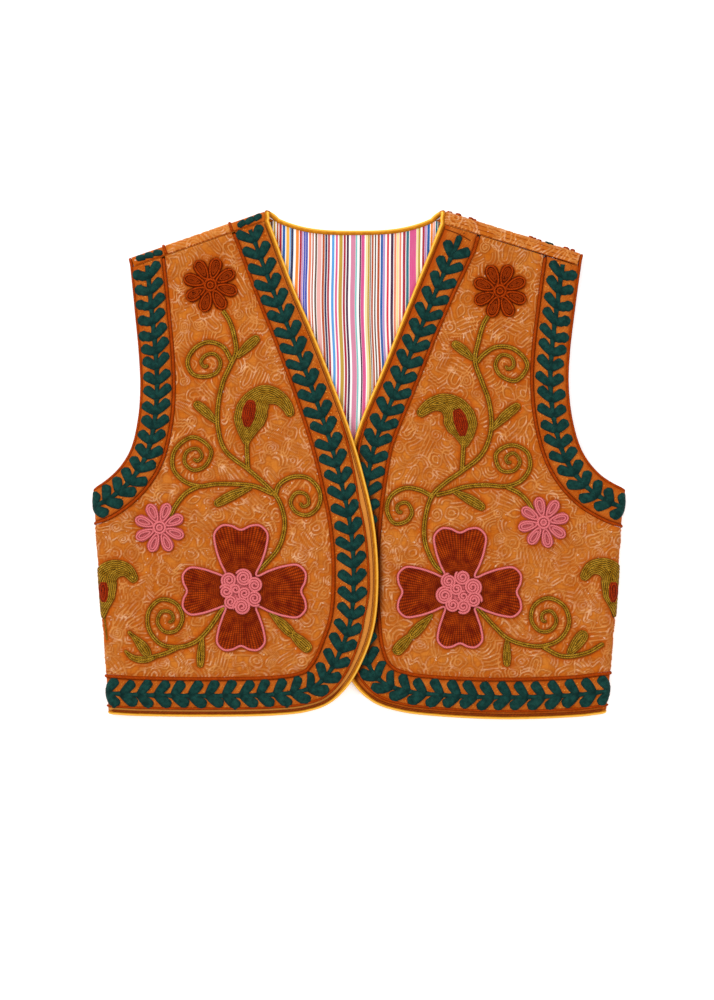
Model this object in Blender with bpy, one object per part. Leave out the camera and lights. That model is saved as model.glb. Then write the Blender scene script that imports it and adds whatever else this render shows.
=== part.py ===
"""Embroidered waistcoat, fastenings open, laid out flat with its right front over its left.

Run with: blender --background --python part.py

Every piece is first made flat in pattern space, in millimetres: out is the distance from the centre
line towards the wearer's side, up is the height above the hem, and proud is the height above the
outer face of the cloth. lay_front and lay_back then lay it on the table, round the rolled folds at
the sides and shoulders. The table is at z = 0, +Y points to the neck and +X to the wearer's left.
"""

import math
from collections import namedtuple

import bmesh
import bpy
import numpy as np

# ---------------------------------------------------------------- driving sizes, in millimetres
METRE = 1000.0
CLOTH = 2.6  # padded and quilted outer cloth
LINING = 1.0  # striped cotton inside the back
GAP = 0.3  # clearance between neighbouring pieces
FOLD_R = 5.7  # outer radius of the rolled side and shoulder folds
FRONT_REST = 8.1  # height of the fronts' face where they lie on the back
FOLD_EASE = 45.0  # how far the cloth takes to settle from a side fold to its rest
SHOULDER_EASE = 40.0
OVERLAP_LIFT = 5.7  # how far the right front rides up over the left one
LIFT_EASE = 55.0
UNDER_TURN = 6.0  # cloth of a front that lies underneath, from the side fold to the side seam
BINDING_R = 2.2  # golden binding, half its thickness
PIPING_R = 1.6  # rust piping between band and field
ARMHOLE_PIPING_R = 1.5
QUILT_PUFF = 0.5  # height of the quilted puffs
QUILT_PITCH = 27.0
STITCH_H = 1.4  # thickness of the raised embroidery
PAGE_X, PAGE_Y = 1.83, 252.73  # pattern point that stands at the part's origin
BACK_ARCH = 40.0  # how far the back's hem rises at its middle
NECK_DROP, NECK_POWER = 20.0, 3.3  # the back neck's curve
ON_BAND = 0.7  # underside of the embroidery above a band's face
ON_FIELD = 1.2  # and above the field's flat face, clear of its puffs
PIPING_TURN = 1.9  # how far trimmings go round the side fold, in radians
VINE_TURN = 1.75
CUT_PITCH = 28.0  # spacing of the cuts that let a wide flat solid follow the cloth
SEAM_CLEAR = 0.5  # gap beside pipings and bindings, and at the side seam underneath

SIDES = ("right", "left")
SIGN = {"right": -1.0, "left": 1.0}
SEAM_DROP = {"right": 10.0, "left": 13.0}  # shoulder seam below the shoulder fold
NECK_POINT = {"right": (92.0, 507.0), "left": (88.0, 507.0)}
SHOULDER_TIP = {"right": (228.0, 460.0), "left": (226.0, 464.0)}
UNDERARM_UP = 228.0
ARMHOLE_BAND = {"right": 34.0, "left": 37.0}

# Half width of the laid-out body at its side folds.
FoldRow = namedtuple("FoldRow", "up right left")
FOLD_ROWS = (
    FoldRow(-10, 248, 247),
    FoldRow(20, 249.5, 251),
    FoldRow(78, 253, 256),
    FoldRow(138, 257.5, 260.5),
    FoldRow(198, 262, 265),
    FoldRow(230, 264, 269),
)

# Armhole edge from the underarm fold up to the shoulder, in pattern space.
ArmholeRow = namedtuple("ArmholeRow", "right_out right_up left_out left_up")
ARMHOLE_ROWS = (
    ArmholeRow(300, 227, 305, 227),
    ArmholeRow(284, 227, 289, 227),
    ArmholeRow(268, 228.5, 272, 228.5),
    ArmholeRow(258, 233, 262, 232),
    ArmholeRow(240, 248, 243, 244),
    ArmholeRow(227, 268, 226, 266),
    ArmholeRow(219.5, 298, 216, 298),
    ArmholeRow(217, 330, 212, 335),
    ArmholeRow(218.5, 365, 213.5, 368),
    ArmholeRow(222, 402, 217.5, 402),
    ArmholeRow(228, 462, 226, 464),
    ArmholeRow(233, 492, 232, 494),
)

# Outer edge of each front from the neck point down the neckline, round the corner and along the hem,
# with the width of the embroidered band there.
EdgeRow = namedtuple("EdgeRow", "right_out right_up right_band left_out left_up left_band")
EDGE_ROWS = (
    EdgeRow(98, 521, 37, 95, 523, 39),
    EdgeRow(92, 507, 37, 88, 507, 39),
    EdgeRow(82, 482, 37, 76, 482, 39),
    EdgeRow(63, 432, 37, 57, 435, 39),
    EdgeRow(45, 390, 38, 40.5, 394, 38),
    EdgeRow(27.5, 346, 39, 24, 351, 38),
    EdgeRow(6, 286, 41, -1.5, 283, 38),
    EdgeRow(-8, 238, 43, -12, 238, 40),
    EdgeRow(-17.5, 194, 44, -19, 194, 42),
    EdgeRow(-21.5, 141, 45, -22.5, 141, 43),
    EdgeRow(-18, 94, 45, -20.5, 94, 43),
    EdgeRow(-8, 62, 45, -15, 60, 42),
    EdgeRow(8, 33, 43, -3, 33, 41),
    EdgeRow(28, 14, 41, 17, 15, 40),
    EdgeRow(50, 6, 39, 44, 6, 39),
    EdgeRow(80, 2.5, 38, 75, 2, 39),
    EdgeRow(150, 1, 38, 147, -1.5, 40),
    EdgeRow(220, 2, 38, 220, 1, 40),
    EdgeRow(252, 4, 38, 255, 5, 40),
    EdgeRow(300, 5, 38, 305, 6, 40),
)

# Broad soft ridges left in the laid cloth: two ends, half width and height.
Ridge = namedtuple("Ridge", "out0 up0 out1 up1 spread rise")
RIDGES = {
    "right": (
        Ridge(236, 226, 176, 286, 13, 1.5),
        Ridge(214, 46, 196, 168, 15, 1.3),
        Ridge(148, 40, 150, 116, 13, 1.1),
        Ridge(150, 300, 128, 420, 16, 1.2),
        Ridge(92, 330, 150, 250, 14, 0.9),
    ),
    "left": (
        Ridge(240, 224, 186, 300, 14, 1.6),
        Ridge(206, 44, 214, 150, 14, 1.4),
        Ridge(128, 42, 116, 130, 14, 1.0),
        Ridge(146, 290, 138, 400, 15, 1.3),
        Ridge(196, 190, 130, 214, 15, 1.0),
    ),
}

COLOURS = {  # linear red, green and blue, and roughness
    "field_cloth": ((0.48, 0.17, 0.032), 0.85),
    "band_cloth": ((0.50, 0.16, 0.028), 0.85),
    "binding": ((0.80, 0.34, 0.016), 0.5),
    "rust": ((0.34, 0.045, 0.004), 0.8),
    "vine_green": ((0.008, 0.060, 0.052), 0.8),
    "olive": ((0.24, 0.12, 0.010), 0.8),
    "brick": ((0.27, 0.022, 0.002), 0.8),
    "pink": ((0.70, 0.12, 0.16), 0.8),
    "lining": ((0.80, 0.60, 0.58), 0.8),
}


# ---------------------------------------------------------------- smooth lines in pattern space
def ease(t):
    """0 below 0, 1 above 1, and a smooth step between."""
    t = np.clip(t, 0.0, 1.0)
    return t * t * (3 - 2 * t)


def smooth(knots, step=1.0):
    """Points along a centripetal Catmull-Rom curve through the knots, about step apart."""
    knots = np.array(knots, float)
    ends = np.vstack([2 * knots[0] - knots[1], knots, 2 * knots[-1] - knots[-2]])
    pieces = []
    for k in range(1, len(ends) - 2):
        p = ends[k - 1 : k + 3]
        t = np.concatenate([[0], np.cumsum(np.sqrt(np.linalg.norm(np.diff(p, axis=0), axis=1)))])
        count = max(2, round(np.linalg.norm(p[2] - p[1]) / step))
        u = np.linspace(t[1], t[2], count, endpoint=False)[:, None]
        a = [((t[i + 1] - u) * p[i] + (u - t[i]) * p[i + 1]) / (t[i + 1] - t[i]) for i in range(3)]
        b = [((t[i + 2] - u) * a[i] + (u - t[i]) * a[i + 1]) / (t[i + 2] - t[i]) for i in range(2)]
        pieces.append(((t[2] - u) * b[0] + (u - t[1]) * b[1]) / (t[2] - t[1]))
    return np.vstack([*pieces, knots[-1:]])


class Line:
    """A curve of pattern points, read by the length along it."""

    def __init__(self, points):
        self.points = np.array(points, float)
        steps = np.linalg.norm(np.diff(self.points, axis=0), axis=1)
        self.reach = np.concatenate([[0], np.cumsum(steps)])
        self.length = self.reach[-1]

    def at(self, s):
        s = np.asarray(s, float)
        return np.stack([np.interp(s, self.reach, self.points[:, k]) for k in (0, 1)], -1)

    def heading(self, s, reach=1.5):
        ahead = self.at(np.minimum(np.asarray(s, float) + reach, self.length))
        behind = self.at(np.maximum(np.asarray(s, float) - reach, 0))
        step = ahead - behind
        return step / np.linalg.norm(step, axis=-1, keepdims=True)

    def beside(self, s, off):
        """Points a distance off to the left of the way the line runs."""
        way = self.heading(s)
        return self.at(s) + np.asarray(off)[..., None] * np.stack([-way[..., 1], way[..., 0]], -1)

    def offset(self, off):
        return Line(self.beside(self.reach, np.broadcast_to(off, self.reach.shape)))

    def part(self, start, end, count=400):
        return Line(self.at(np.linspace(start, end, count)))


def column(rows, name):
    return np.array([getattr(row, name) for row in rows], float)


def table_line(rows, side):
    return Line(smooth(np.stack([column(rows, side + "_out"), column(rows, side + "_up")], 1)))


EDGE = {side: table_line(EDGE_ROWS, side) for side in SIDES}
ARMHOLE = {side: table_line(ARMHOLE_ROWS, side) for side in SIDES}
FOLD_CURVE = {
    side: smooth(np.stack([column(FOLD_ROWS, side), column(FOLD_ROWS, "up")], 1), 2.0)
    for side in SIDES
}


def band_width(side):
    """Width of the front band at each point of the edge."""
    knots = np.stack([column(EDGE_ROWS, side + "_out"), column(EDGE_ROWS, side + "_up")], 1)
    edge = EDGE[side]
    where = [edge.reach[np.argmin(np.linalg.norm(edge.points - k, axis=1))] for k in knots]
    return np.interp(edge.reach, where, column(EDGE_ROWS, side + "_band"))


# Inward is to the left of an edge line, which runs down the neckline, and to the left of an armhole
# line, which runs up to the shoulder.
FRONT_SEAM = {side: EDGE[side].offset(band_width(side)) for side in SIDES}
ARMHOLE_SEAM = {side: ARMHOLE[side].offset(ARMHOLE_BAND[side]) for side in SIDES}


# ---------------------------------------------------------------- how the cloth lies
def fold_out(side, up):
    """Half width at the side fold. Above the underarm it stays as it is there."""
    curve = FOLD_CURVE[side]
    return np.interp(up, curve[:, 1], curve[:, 0])


def fold_start(side, up):
    return fold_out(side, up) - FOLD_R


def shoulder_frame(side):
    """The neck point, the way along the shoulder and the way out across its fold."""
    neck, tip = np.array(NECK_POINT[side]), np.array(SHOULDER_TIP[side])
    along = (tip - neck) / np.linalg.norm(tip - neck)
    return neck, along, np.array([-along[1], along[0]])


def past_shoulder(side, out, up):
    """Signed distance past the shoulder fold's outline, negative inside the garment."""
    neck, _, across = shoulder_frame(side)
    return (out - neck[0]) * across[0] + (up - neck[1]) * across[1]


def ridges(side, out, up):
    """Height of the soft ridges. Each fades towards its two ends."""
    height = np.zeros(np.broadcast(out, up).shape)
    for r in RIDGES[side]:
        way = np.array([r.out1 - r.out0, r.up1 - r.up0])
        length = np.linalg.norm(way)
        way = way / length
        along = ((out - r.out0) * way[0] + (up - r.up0) * way[1]) / length
        across = (out - r.out0) * -way[1] + (up - r.up0) * way[0]
        fade = ease(along * 4 + 0.5) * ease((1 - along) * 4 + 0.5)
        height = height + r.rise * fade * np.exp(-((across / r.spread) ** 2))
    return height


def overlap(out, up):
    """1 where the right front lies on the left one, 0 well clear of it."""
    under = EDGE["left"].points
    under = under[(under[:, 0] < 110) & (under[:, 1] < 507)]
    clear = np.interp(up, under[::-1, 1], under[::-1, 0]) + out
    return 1 - ease((clear - 3) / LIFT_EASE)


def near_fold(side, out, up):
    """1 at a side or shoulder fold, 0 where the cloth has settled."""
    at_side = 1 - ease((fold_start(side, up) - out) / FOLD_EASE)
    at_side = at_side * (1 - ease((up - UNDERARM_UP - 5) / FOLD_EASE))
    at_shoulder = 1 - ease((-past_shoulder(side, out, up) - FOLD_R - 6) / SHOULDER_EASE)
    return 1 - (1 - at_side) * (1 - at_shoulder)


def face_height(side, out, up):
    """Height of a front's outer face above the table."""
    near = near_fold(side, out, up)
    height = FRONT_REST + (2 * FOLD_R - FRONT_REST) * near
    if side == "right":
        over = overlap(out, up)
        return height + OVERLAP_LIFT * over + ridges(side, out, up) * (1 - near) * (1 - over)
    covered = 1 - ease((out - 30) / 30)
    return height + ridges(side, out, up) * (1 - near) * (1 - covered)


def lay_front(side, out, up, proud):
    """Table coordinates of points of a front, whose cloth rolls round the side fold."""
    out, up, proud = (np.asarray(v, float) for v in (out, up, proud))
    start = fold_start(side, up)
    turn = (out - start) / FOLD_R
    rolled = np.clip(turn, 0, math.pi)
    radius = FOLD_R + proud
    x = np.where(turn < 0, out, start + radius * np.sin(rolled))
    z = np.where(turn < 0, face_height(side, out, up) + proud, FOLD_R + radius * np.cos(rolled))
    under = np.maximum(turn - math.pi, 0) * FOLD_R
    return np.stack([SIGN[side] * (x - under), up, z], -1)


def lay_back(side, out, up, proud):
    """Table coordinates of points of the back, which rolls forward over the shoulder fold."""
    out, up, proud = (np.asarray(v, float) for v in (out, up, proud))
    _, _, across = shoulder_frame(side)
    past = past_shoulder(side, out, up)
    turn = (past + FOLD_R) / FOLD_R
    rolled = np.clip(turn, 0, math.pi)
    radius = FOLD_R + proud
    over = np.maximum(turn - math.pi, 0) * FOLD_R
    now = -FOLD_R + radius * np.sin(rolled) - over
    shift = np.where(turn < 0, 0, now - past)
    z = np.where(turn < 0, -proud, FOLD_R - radius * np.cos(rolled))
    return np.stack([SIGN[side] * (out + shift * across[0]), up + shift * across[1], z], -1)


def to_frame(points):
    """Table millimetres to the part's frame, in metres."""
    return (np.asarray(points, float) - np.array([PAGE_X, PAGE_Y, 0])) / METRE


# ---------------------------------------------------------------- making solids
def material(name):
    made = bpy.data.materials.get(name)
    if made:
        return made
    made = bpy.data.materials.new(name)
    made.use_nodes = True
    shader = made.node_tree.nodes["Principled BSDF"]
    colour, roughness = COLOURS[name]
    shader.inputs["Base Color"].default_value = (*colour, 1)
    shader.inputs["Roughness"].default_value = roughness
    shader.inputs["Metallic"].default_value = 0.0
    return made


def finish(name, bm, slot):
    """A mesh object from bm, in the waistcoat's collection."""
    bmesh.ops.recalc_face_normals(bm, faces=bm.faces[:])
    if bm.calc_volume(signed=True) < 0:
        bmesh.ops.reverse_faces(bm, faces=bm.faces[:])
    mesh = bpy.data.meshes.new(name)
    bm.to_mesh(mesh)
    bm.free()
    mesh.materials.append(material(slot))
    mesh.shade_smooth()
    mesh.set_sharp_from_angle(angle=math.radians(35))
    obj = bpy.data.objects.new(name, mesh)
    WAISTCOAT.objects.link(obj)
    return obj


def move_all(bm, lay):
    """Lays a flat solid on the table: lay takes out, up and proud."""
    flat = np.array([v.co for v in bm.verts], float)
    laid = to_frame(lay(flat[:, 0], flat[:, 1], flat[:, 2]))
    for vert, place in zip(bm.verts, laid, strict=True):
        vert.co = place


def grid_wall(points, inner, outer):
    """A cloth wall over a grid of pattern points. outer gives the height of its face there."""
    rows, columns = points.shape[:2]
    bm = bmesh.new()
    bmesh.ops.create_grid(bm, x_segments=columns - 1, y_segments=rows - 1, size=1)
    bm.verts.ensure_lookup_table()
    tops = np.broadcast_to(outer, (rows, columns))
    for vert, place, top in zip(bm.verts[:], points.reshape(-1, 2), tops.ravel(), strict=True):
        vert.co = (*place, top)
    face_verts = bm.verts[:]
    copied = bmesh.ops.duplicate(bm, geom=bm.faces[:])
    backs = [g for g in copied["geom"] if isinstance(g, bmesh.types.BMVert)]
    for vert in backs:
        vert.co.z = inner
    rims = [e for e in bm.edges if e.is_boundary]
    bmesh.ops.bridge_loops(bm, edges=rims)
    assert len(face_verts) == len(backs)
    return bm


def slab(outline, low, high):
    """A flat solid with this outline of pattern points, from low to high above the cloth."""
    bm = bmesh.new()
    rim = [bm.verts.new((*place, low)) for place in outline]
    floor = bm.faces.new(rim)
    raised = bmesh.ops.extrude_face_region(bm, geom=[floor], use_keep_orig=True)
    for g in raised["geom"]:
        if isinstance(g, bmesh.types.BMVert):
            g.co.z = high
    bmesh.ops.triangulate(bm, faces=[f for f in bm.faces if len(f.verts) > 4])
    return bm


def coons(bottom, top, first, last, across, rise):
    """Grid of pattern points inside four lines. across and rise are shares from 0 to 1.

    bottom and top run from the first side to the last, first and last from bottom to top.
    """
    across, rise = np.array(across)[None, :, None], np.array(rise)[:, None, None]
    low = bottom.at(across[0, :, 0] * bottom.length)[None]
    high = top.at(across[0, :, 0] * top.length)[None]
    begin = first.at(rise[:, 0, 0] * first.length)[:, None]
    end = last.at(rise[:, 0, 0] * last.length)[:, None]
    ruled = (1 - rise) * low + rise * high + (1 - across) * begin + across * end
    near = (1 - across) * low[:, :1] + across * low[:, -1:]
    far = (1 - across) * high[:, :1] + across * high[:, -1:]
    return ruled - (1 - rise) * near - rise * far


def shares(*stretches):
    """Increasing shares from 0 to 1: each stretch is where it ends and how many steps it takes."""
    found, start = [0.0], 0.0
    for end, steps in stretches:
        found += list(np.linspace(start, end, steps + 1)[1:])
        start = end
    return found


def crossing(line, values):
    """Length along a line at which values, one for each of its points, first change sign."""
    k = int(np.argmax(np.sign(values) != np.sign(values[0])))
    share = values[k - 1] / (values[k - 1] - values[k])
    return line.reach[k - 1] + share * (line.reach[k] - line.reach[k - 1])


def seam_reach(line, side, drop):
    """Length along a line where it crosses the shoulder seam, drop below the shoulder fold."""
    return crossing(line, past_shoulder(side, line.points[:, 0], line.points[:, 1]) + drop)


def rolled_reach(line, side, turn, beyond=0.0):
    """Length along a line where it has turned this far round the side fold, and gone on beyond."""
    limit = fold_start(side, line.points[:, 1]) + turn * FOLD_R + beyond
    return crossing(line, limit - line.points[:, 0])


def side_seam_reach(line, side):
    return rolled_reach(line, side, math.pi, UNDER_TURN)


def tube(name, path, radius, slot, closed=False, sides=6):
    """A round cord along table points, as a mesh."""
    curve = bpy.data.curves.new(name, "CURVE")
    curve.dimensions = "3D"
    curve.bevel_depth = radius / METRE
    curve.bevel_resolution = (sides - 4) // 2
    curve.use_fill_caps = not closed
    spline = curve.splines.new("POLY")
    spline.points.add(len(path) - 1)
    spline.use_cyclic_u = closed
    for point, place in zip(spline.points, to_frame(path), strict=True):
        point.co = (*place, 1)
    guide = bpy.data.objects.new(name + "_guide", curve)
    WAISTCOAT.objects.link(guide)
    graph = bpy.context.evaluated_depsgraph_get()
    mesh = bpy.data.meshes.new_from_object(guide.evaluated_get(graph))
    bpy.data.objects.remove(guide)
    bm = bmesh.new()
    bm.from_mesh(mesh)
    bpy.data.meshes.remove(mesh)
    bmesh.ops.remove_doubles(bm, verts=bm.verts[:], dist=1e-6)
    return finish(name, bm, slot)


def thinned(path, sag=0.42, longest=36.0):
    """Fewer points along a path: none strays over sag from the chords between those kept."""
    path, kept, start = np.array(path, float), [0], 0
    while start < len(path) - 1:
        end = start + 1
        while end + 1 < len(path):
            chord = path[end + 1] - path[start]
            length = np.linalg.norm(chord)
            between = path[start + 1 : end + 1] - path[start]
            along = np.clip(between @ chord / length**2, 0, 1)[:, None]
            if length > longest or np.linalg.norm(between - along * chord, axis=1).max() > sag:
                break
            end += 1
        kept.append(end)
        start = end
    return path[kept]


# ---------------------------------------------------------------- the cut pieces
def quilt_puff(out, up):
    """Height of the quilted puffs over the flat face."""
    wave = 2 * math.pi / QUILT_PITCH
    drift = 0.9 * np.sin(up * wave * 0.31)
    rows = np.sin(out * wave + drift) * np.sin(up * wave + 0.8 * np.sin(out * wave * 0.37))
    return QUILT_PUFF * (0.5 + 0.5 * rows)


def build_field(side):
    """The quilted field of a front, with the roll round the side fold."""
    front = FRONT_SEAM[side].offset(PIPING_R + 0.7)
    arm = ARMHOLE_SEAM[side].offset(PIPING_R + 0.7)
    drop = SEAM_DROP[side] + GAP / 2
    corner = front.reach[np.argmin(front.points.sum(1))]
    hem = front.part(side_seam_reach(front, side), corner)
    opening = front.part(corner, seam_reach(front, side, drop))
    arm_top = seam_reach(arm, side, drop)
    arm_foot = arm.at(side_seam_reach(arm, side))
    rising = np.linspace(hem.points[0, 1], arm_foot[1], 60)
    seam = fold_start(side, rising) + math.pi * FOLD_R + UNDER_TURN
    armhole = arm.part(side_seam_reach(arm, side), arm_top)
    outer = Line(np.vstack([np.stack([seam, rising], 1)[:-1], armhole.points]))
    shoulder = Line(np.stack([armhole.points[-1], opening.points[-1]]))
    across = shares((0.085, 4), (0.2, 2), (1, 8))
    rise = shares((1, 22))
    points = coons(hem, shoulder, outer, opening, across, rise)
    puff = quilt_puff(points[..., 0], points[..., 1])
    puff[[0, -1]] = 0
    puff[:, [0, 1, 2, -1]] = 0
    bm = grid_wall(points, -CLOTH, puff)
    move_all(bm, lambda out, up, proud: lay_front(side, out, up, proud))
    return finish("front_" + side, bm, "field_cloth")


def strip(lines, stations):
    """Grid of pattern points on several side-by-side lines, each read at shares of its length."""
    return np.stack([line.at(np.array(stations) * line.length) for line in lines], 1)


def build_edge_band(side):
    """The embroidered strip down the neckline, round the corner and along the hem."""
    widths = band_width(side)
    lines = []
    for share in (0, 0.5, 1):
        off = (2 * BINDING_R + 0.8) * (1 - share) + (widths - PIPING_R - 0.8) * share
        line = EDGE[side].offset(off)
        start = seam_reach(line, side, SEAM_DROP[side] + GAP / 2)
        lines.append(line.part(start, side_seam_reach(line, side), 900))
    stations = shares((0.55, 16), (0.78, 16), (0.955, 6), (0.967, 1), (1, 6))
    bm = grid_wall(strip(lines, stations), -CLOTH, 0)
    move_all(bm, lambda out, up, proud: lay_front(side, out, up, proud))
    return finish("front_band_" + side, bm, "band_cloth")


def build_armhole_band(side):
    """The embroidered strip round the front half of an armhole."""
    lines = []
    low, high = 2 * ARMHOLE_PIPING_R + SEAM_CLEAR, ARMHOLE_BAND[side] - PIPING_R - SEAM_CLEAR
    for off in (low, (low + high) / 2, high):
        line = ARMHOLE[side].offset(off)
        end = seam_reach(line, side, SEAM_DROP[side] + GAP / 2)
        lines.append(line.part(side_seam_reach(line, side), end, 600))
    stations = shares((0.09, 6), (1, 14))
    bm = grid_wall(strip(lines, stations), -CLOTH, 0)
    move_all(bm, lambda out, up, proud: lay_front(side, out, up, proud))
    return finish("armhole_band_" + side, bm, "band_cloth")


def neck_up(x):
    """Height of the back neck's edge at a place across, in table coordinates."""
    right, left = NECK_POINT["right"][0], NECK_POINT["left"][0]
    share = (x - (left - right) / 2) / ((left + right) / 2)
    return NECK_POINT["left"][1] - NECK_DROP * (1 - np.abs(np.clip(share, -1, 1)) ** NECK_POWER)


def back_hem_up(x):
    """Height of the back's hem: it rises in an arch to the middle."""
    share = np.clip(np.abs(x) / 243.0, 0, 1)
    return 4.0 + BACK_ARCH * (1 - share**2)


def side_line(side, inset, top):
    """Back's side from the hem to the underarm and up the armhole, in table x and y."""
    arm = ARMHOLE[side].offset(inset)
    foot = fold_start(side, np.array(UNDERARM_UP)) - UNDER_TURN
    arm_points = arm.points[(arm.points[:, 0] < foot - 2) & (arm.points[:, 1] > 200)]
    past = past_shoulder(side, arm_points[:, 0], arm_points[:, 1])
    arm_points = arm_points[past < top]
    hem = back_hem_up(235.0) + 2 * BINDING_R + 1.6
    rising = np.linspace(hem, arm_points[0, 1] - 6, 60)
    seam = fold_start(side, rising) - UNDER_TURN - SEAM_CLEAR
    points = np.vstack([np.stack([seam, rising], 1), arm_points])
    return Line(np.stack([SIGN[side] * points[:, 0], points[:, 1]], 1))


def back_grid(inset, hem_inset, shoulder_top, columns):
    """Grid of table points over the back, up to the neck edge and the foot of the shoulder folds."""
    first, last = (side_line(side, inset, shoulder_top) for side in SIDES)
    x = np.linspace(first.points[0, 0], last.points[0, 0], 200)
    bottom = Line(np.stack([x, back_hem_up(x) + hem_inset], 1))
    bottom.points[0], bottom.points[-1] = first.points[0], last.points[0]
    tops = []
    for side in SIDES:
        neck, along, across_fold = shoulder_frame(side)
        inner = neck + across_fold * shoulder_top + along * (2 * BINDING_R + GAP)
        tops.append(np.array([SIGN[side] * inner[0], inner[1]]))
    x = np.linspace(tops[0][0], tops[1][0], 120)
    neck_line = np.stack([x, neck_up(x) - hem_inset], 1)
    neck_line[0], neck_line[-1] = tops
    shoulder, middle = columns
    parts = (
        np.linspace(first.points[-1], tops[0], shoulder + 1)[:-1],
        Line(neck_line).at(np.linspace(0, 1, middle + 1)[:-1] * Line(neck_line).length),
        np.linspace(tops[1], last.points[-1], shoulder + 1),
    )
    top_points = np.vstack(parts)
    top = Line(top_points)
    across = top.reach / top.length
    return coons(bottom, top, first, last, across, shares((0.43, 5), (0.64, 7), (1, 7)))


def build_back():
    """The back, its outer face down on the table, rolled forward over both shoulders."""
    shoulder, middle = 3, 12
    inset = 2 * ARMHOLE_PIPING_R + SEAM_CLEAR
    points = back_grid(inset, 2 * BINDING_R + 1.0, -FOLD_R, (shoulder, middle))
    rows, columns = points.shape[:2]
    bm = bmesh.new()
    bmesh.ops.create_grid(bm, x_segments=columns - 1, y_segments=rows - 1, size=1)
    bm.verts.ensure_lookup_table()
    for vert, place in zip(bm.verts[:], points.reshape(-1, 2), strict=True):
        vert.co = (*place, 0)
    top_row = bm.verts[-columns:]
    roll = math.pi * FOLD_R
    for side, ends in (("right", top_row[: shoulder + 1]), ("left", top_row[-shoulder - 1 :])):
        _, _, across = shoulder_frame(side)
        edges = [e for e in bm.edges if e.verts[0] in ends and e.verts[1] in ends]
        flat = SEAM_DROP[side] - FOLD_R - GAP / 2
        for step in [roll / 6] * 6 + [flat]:
            grown = bmesh.ops.extrude_edge_only(bm, edges=edges)["geom"]
            edges = [g for g in grown if isinstance(g, bmesh.types.BMEdge)]
            move = (SIGN[side] * across[0] * step, across[1] * step, 0)
            bmesh.ops.translate(bm, vec=move, verts=[g for g in grown if isinstance(g, bmesh.types.BMVert)])
    copied = bmesh.ops.duplicate(bm, geom=bm.faces[:])["geom"]
    for g in copied:
        if isinstance(g, bmesh.types.BMVert):
            g.co.z = -CLOTH
    bmesh.ops.bridge_loops(bm, edges=[e for e in bm.edges if e.is_boundary])

    def lay(x, up, proud):
        parts = {s: lay_back(s, SIGN[s] * x, up, proud) for s in SIDES}
        return np.where((x < 0)[:, None], parts["right"], parts["left"])

    move_all(bm, lay)
    return finish("back", bm, "field_cloth")


def build_lining():
    """The striped lining, which shows inside the back at the open neck."""
    low = CLOTH + GAP
    points = back_grid(14.0, 2 * BINDING_R + 1.0, -FOLD_R - 6.0, (3, 12))
    bm = grid_wall(points, low, low + LINING)
    move_all(bm, lambda x, up, height: np.stack([x, up, height], -1))
    return finish("back_lining", bm, "lining")


# ---------------------------------------------------------------- bindings and pipings
def edge_path(side, step=3.0):
    """Centre of the golden binding down a front, from the shoulder seam to the side seam."""
    line = EDGE[side].offset(BINDING_R)
    start = seam_reach(line, side, SEAM_DROP[side])
    s = np.arange(start, side_seam_reach(line, side), step)
    out, up = line.at(s).T
    turned = ease((out - fold_start(side, up)) / (math.pi * FOLD_R))
    centre = -CLOTH / 2 * (1 - turned) - BINDING_R * turned
    return lay_front(side, out, up, centre)


def neck_turn(side):
    """The binding's turn from a front's edge over the shoulder fold to the back neck."""
    neck_out, neck_high = NECK_POINT[side]
    Turn = namedtuple("Turn", "inward down height")
    rows = (
        Turn(3.2, 7.0, 2 * FOLD_R - CLOTH / 2),
        Turn(1.2, 3.6, 2 * FOLD_R - CLOTH / 2 - 1.0),
        Turn(0.6, 2.2, FOLD_R + 1.0),
        Turn(1.6, 3.2, FOLD_R - 1.8),
        Turn(5.0, 5.6, BINDING_R + 0.3),
    )
    inward, down, height = (column(rows, name) for name in Turn._fields)
    return np.stack([SIGN[side] * (neck_out - inward), neck_high - down, height], 1)


def build_binding():
    """One golden strip round the neck, both front edges, the corners and the whole hem."""
    right, left = edge_path("right"), edge_path("left")
    x = np.linspace(-NECK_POINT["right"][0] + 11, NECK_POINT["left"][0] - 11, 40)
    neck = np.stack([x, neck_up(x) - BINDING_R, np.full_like(x, BINDING_R)], 1)
    x = np.linspace(left[-1, 0] - 3, right[-1, 0] + 3, 60)
    hem = np.stack([x, back_hem_up(x) + BINDING_R, np.full_like(x, BINDING_R)], 1)
    hem = hem[(np.abs(hem[:, 0]) < 236)]
    turns = {side: neck_turn(side) for side in SIDES}
    path = np.vstack([right[::-1], turns["right"], neck, turns["left"][::-1], left, hem])
    path = smooth(np.vstack([path, path[:1]]), 1.5)
    return tube("edge_binding", thinned(path)[:-1], BINDING_R, "binding", closed=True)


def seam_path(line, side, start, end, proud):
    s = np.arange(start, end, 2.0)
    out, up = line.at(s).T
    return lay_front(side, out, up, proud)


def build_pipings(side):
    """Rust piping in the seams between the bands and the field, and round the armhole's edge."""
    line = FRONT_SEAM[side]
    start = seam_reach(line, side, SEAM_DROP[side] + 1)
    end = rolled_reach(line, side, PIPING_TURN)
    path = seam_path(line, side, start, end, GAP / 2)
    tube("front_piping_" + side, thinned(path), PIPING_R, "rust")
    line = ARMHOLE_SEAM[side]
    start = rolled_reach(line, side, PIPING_TURN)
    path = seam_path(line, side, start, seam_reach(line, side, SEAM_DROP[side] + 1), GAP / 2)
    tube("armhole_seam_piping_" + side, thinned(path), PIPING_R, "rust")
    build_armhole_piping(side)


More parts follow.
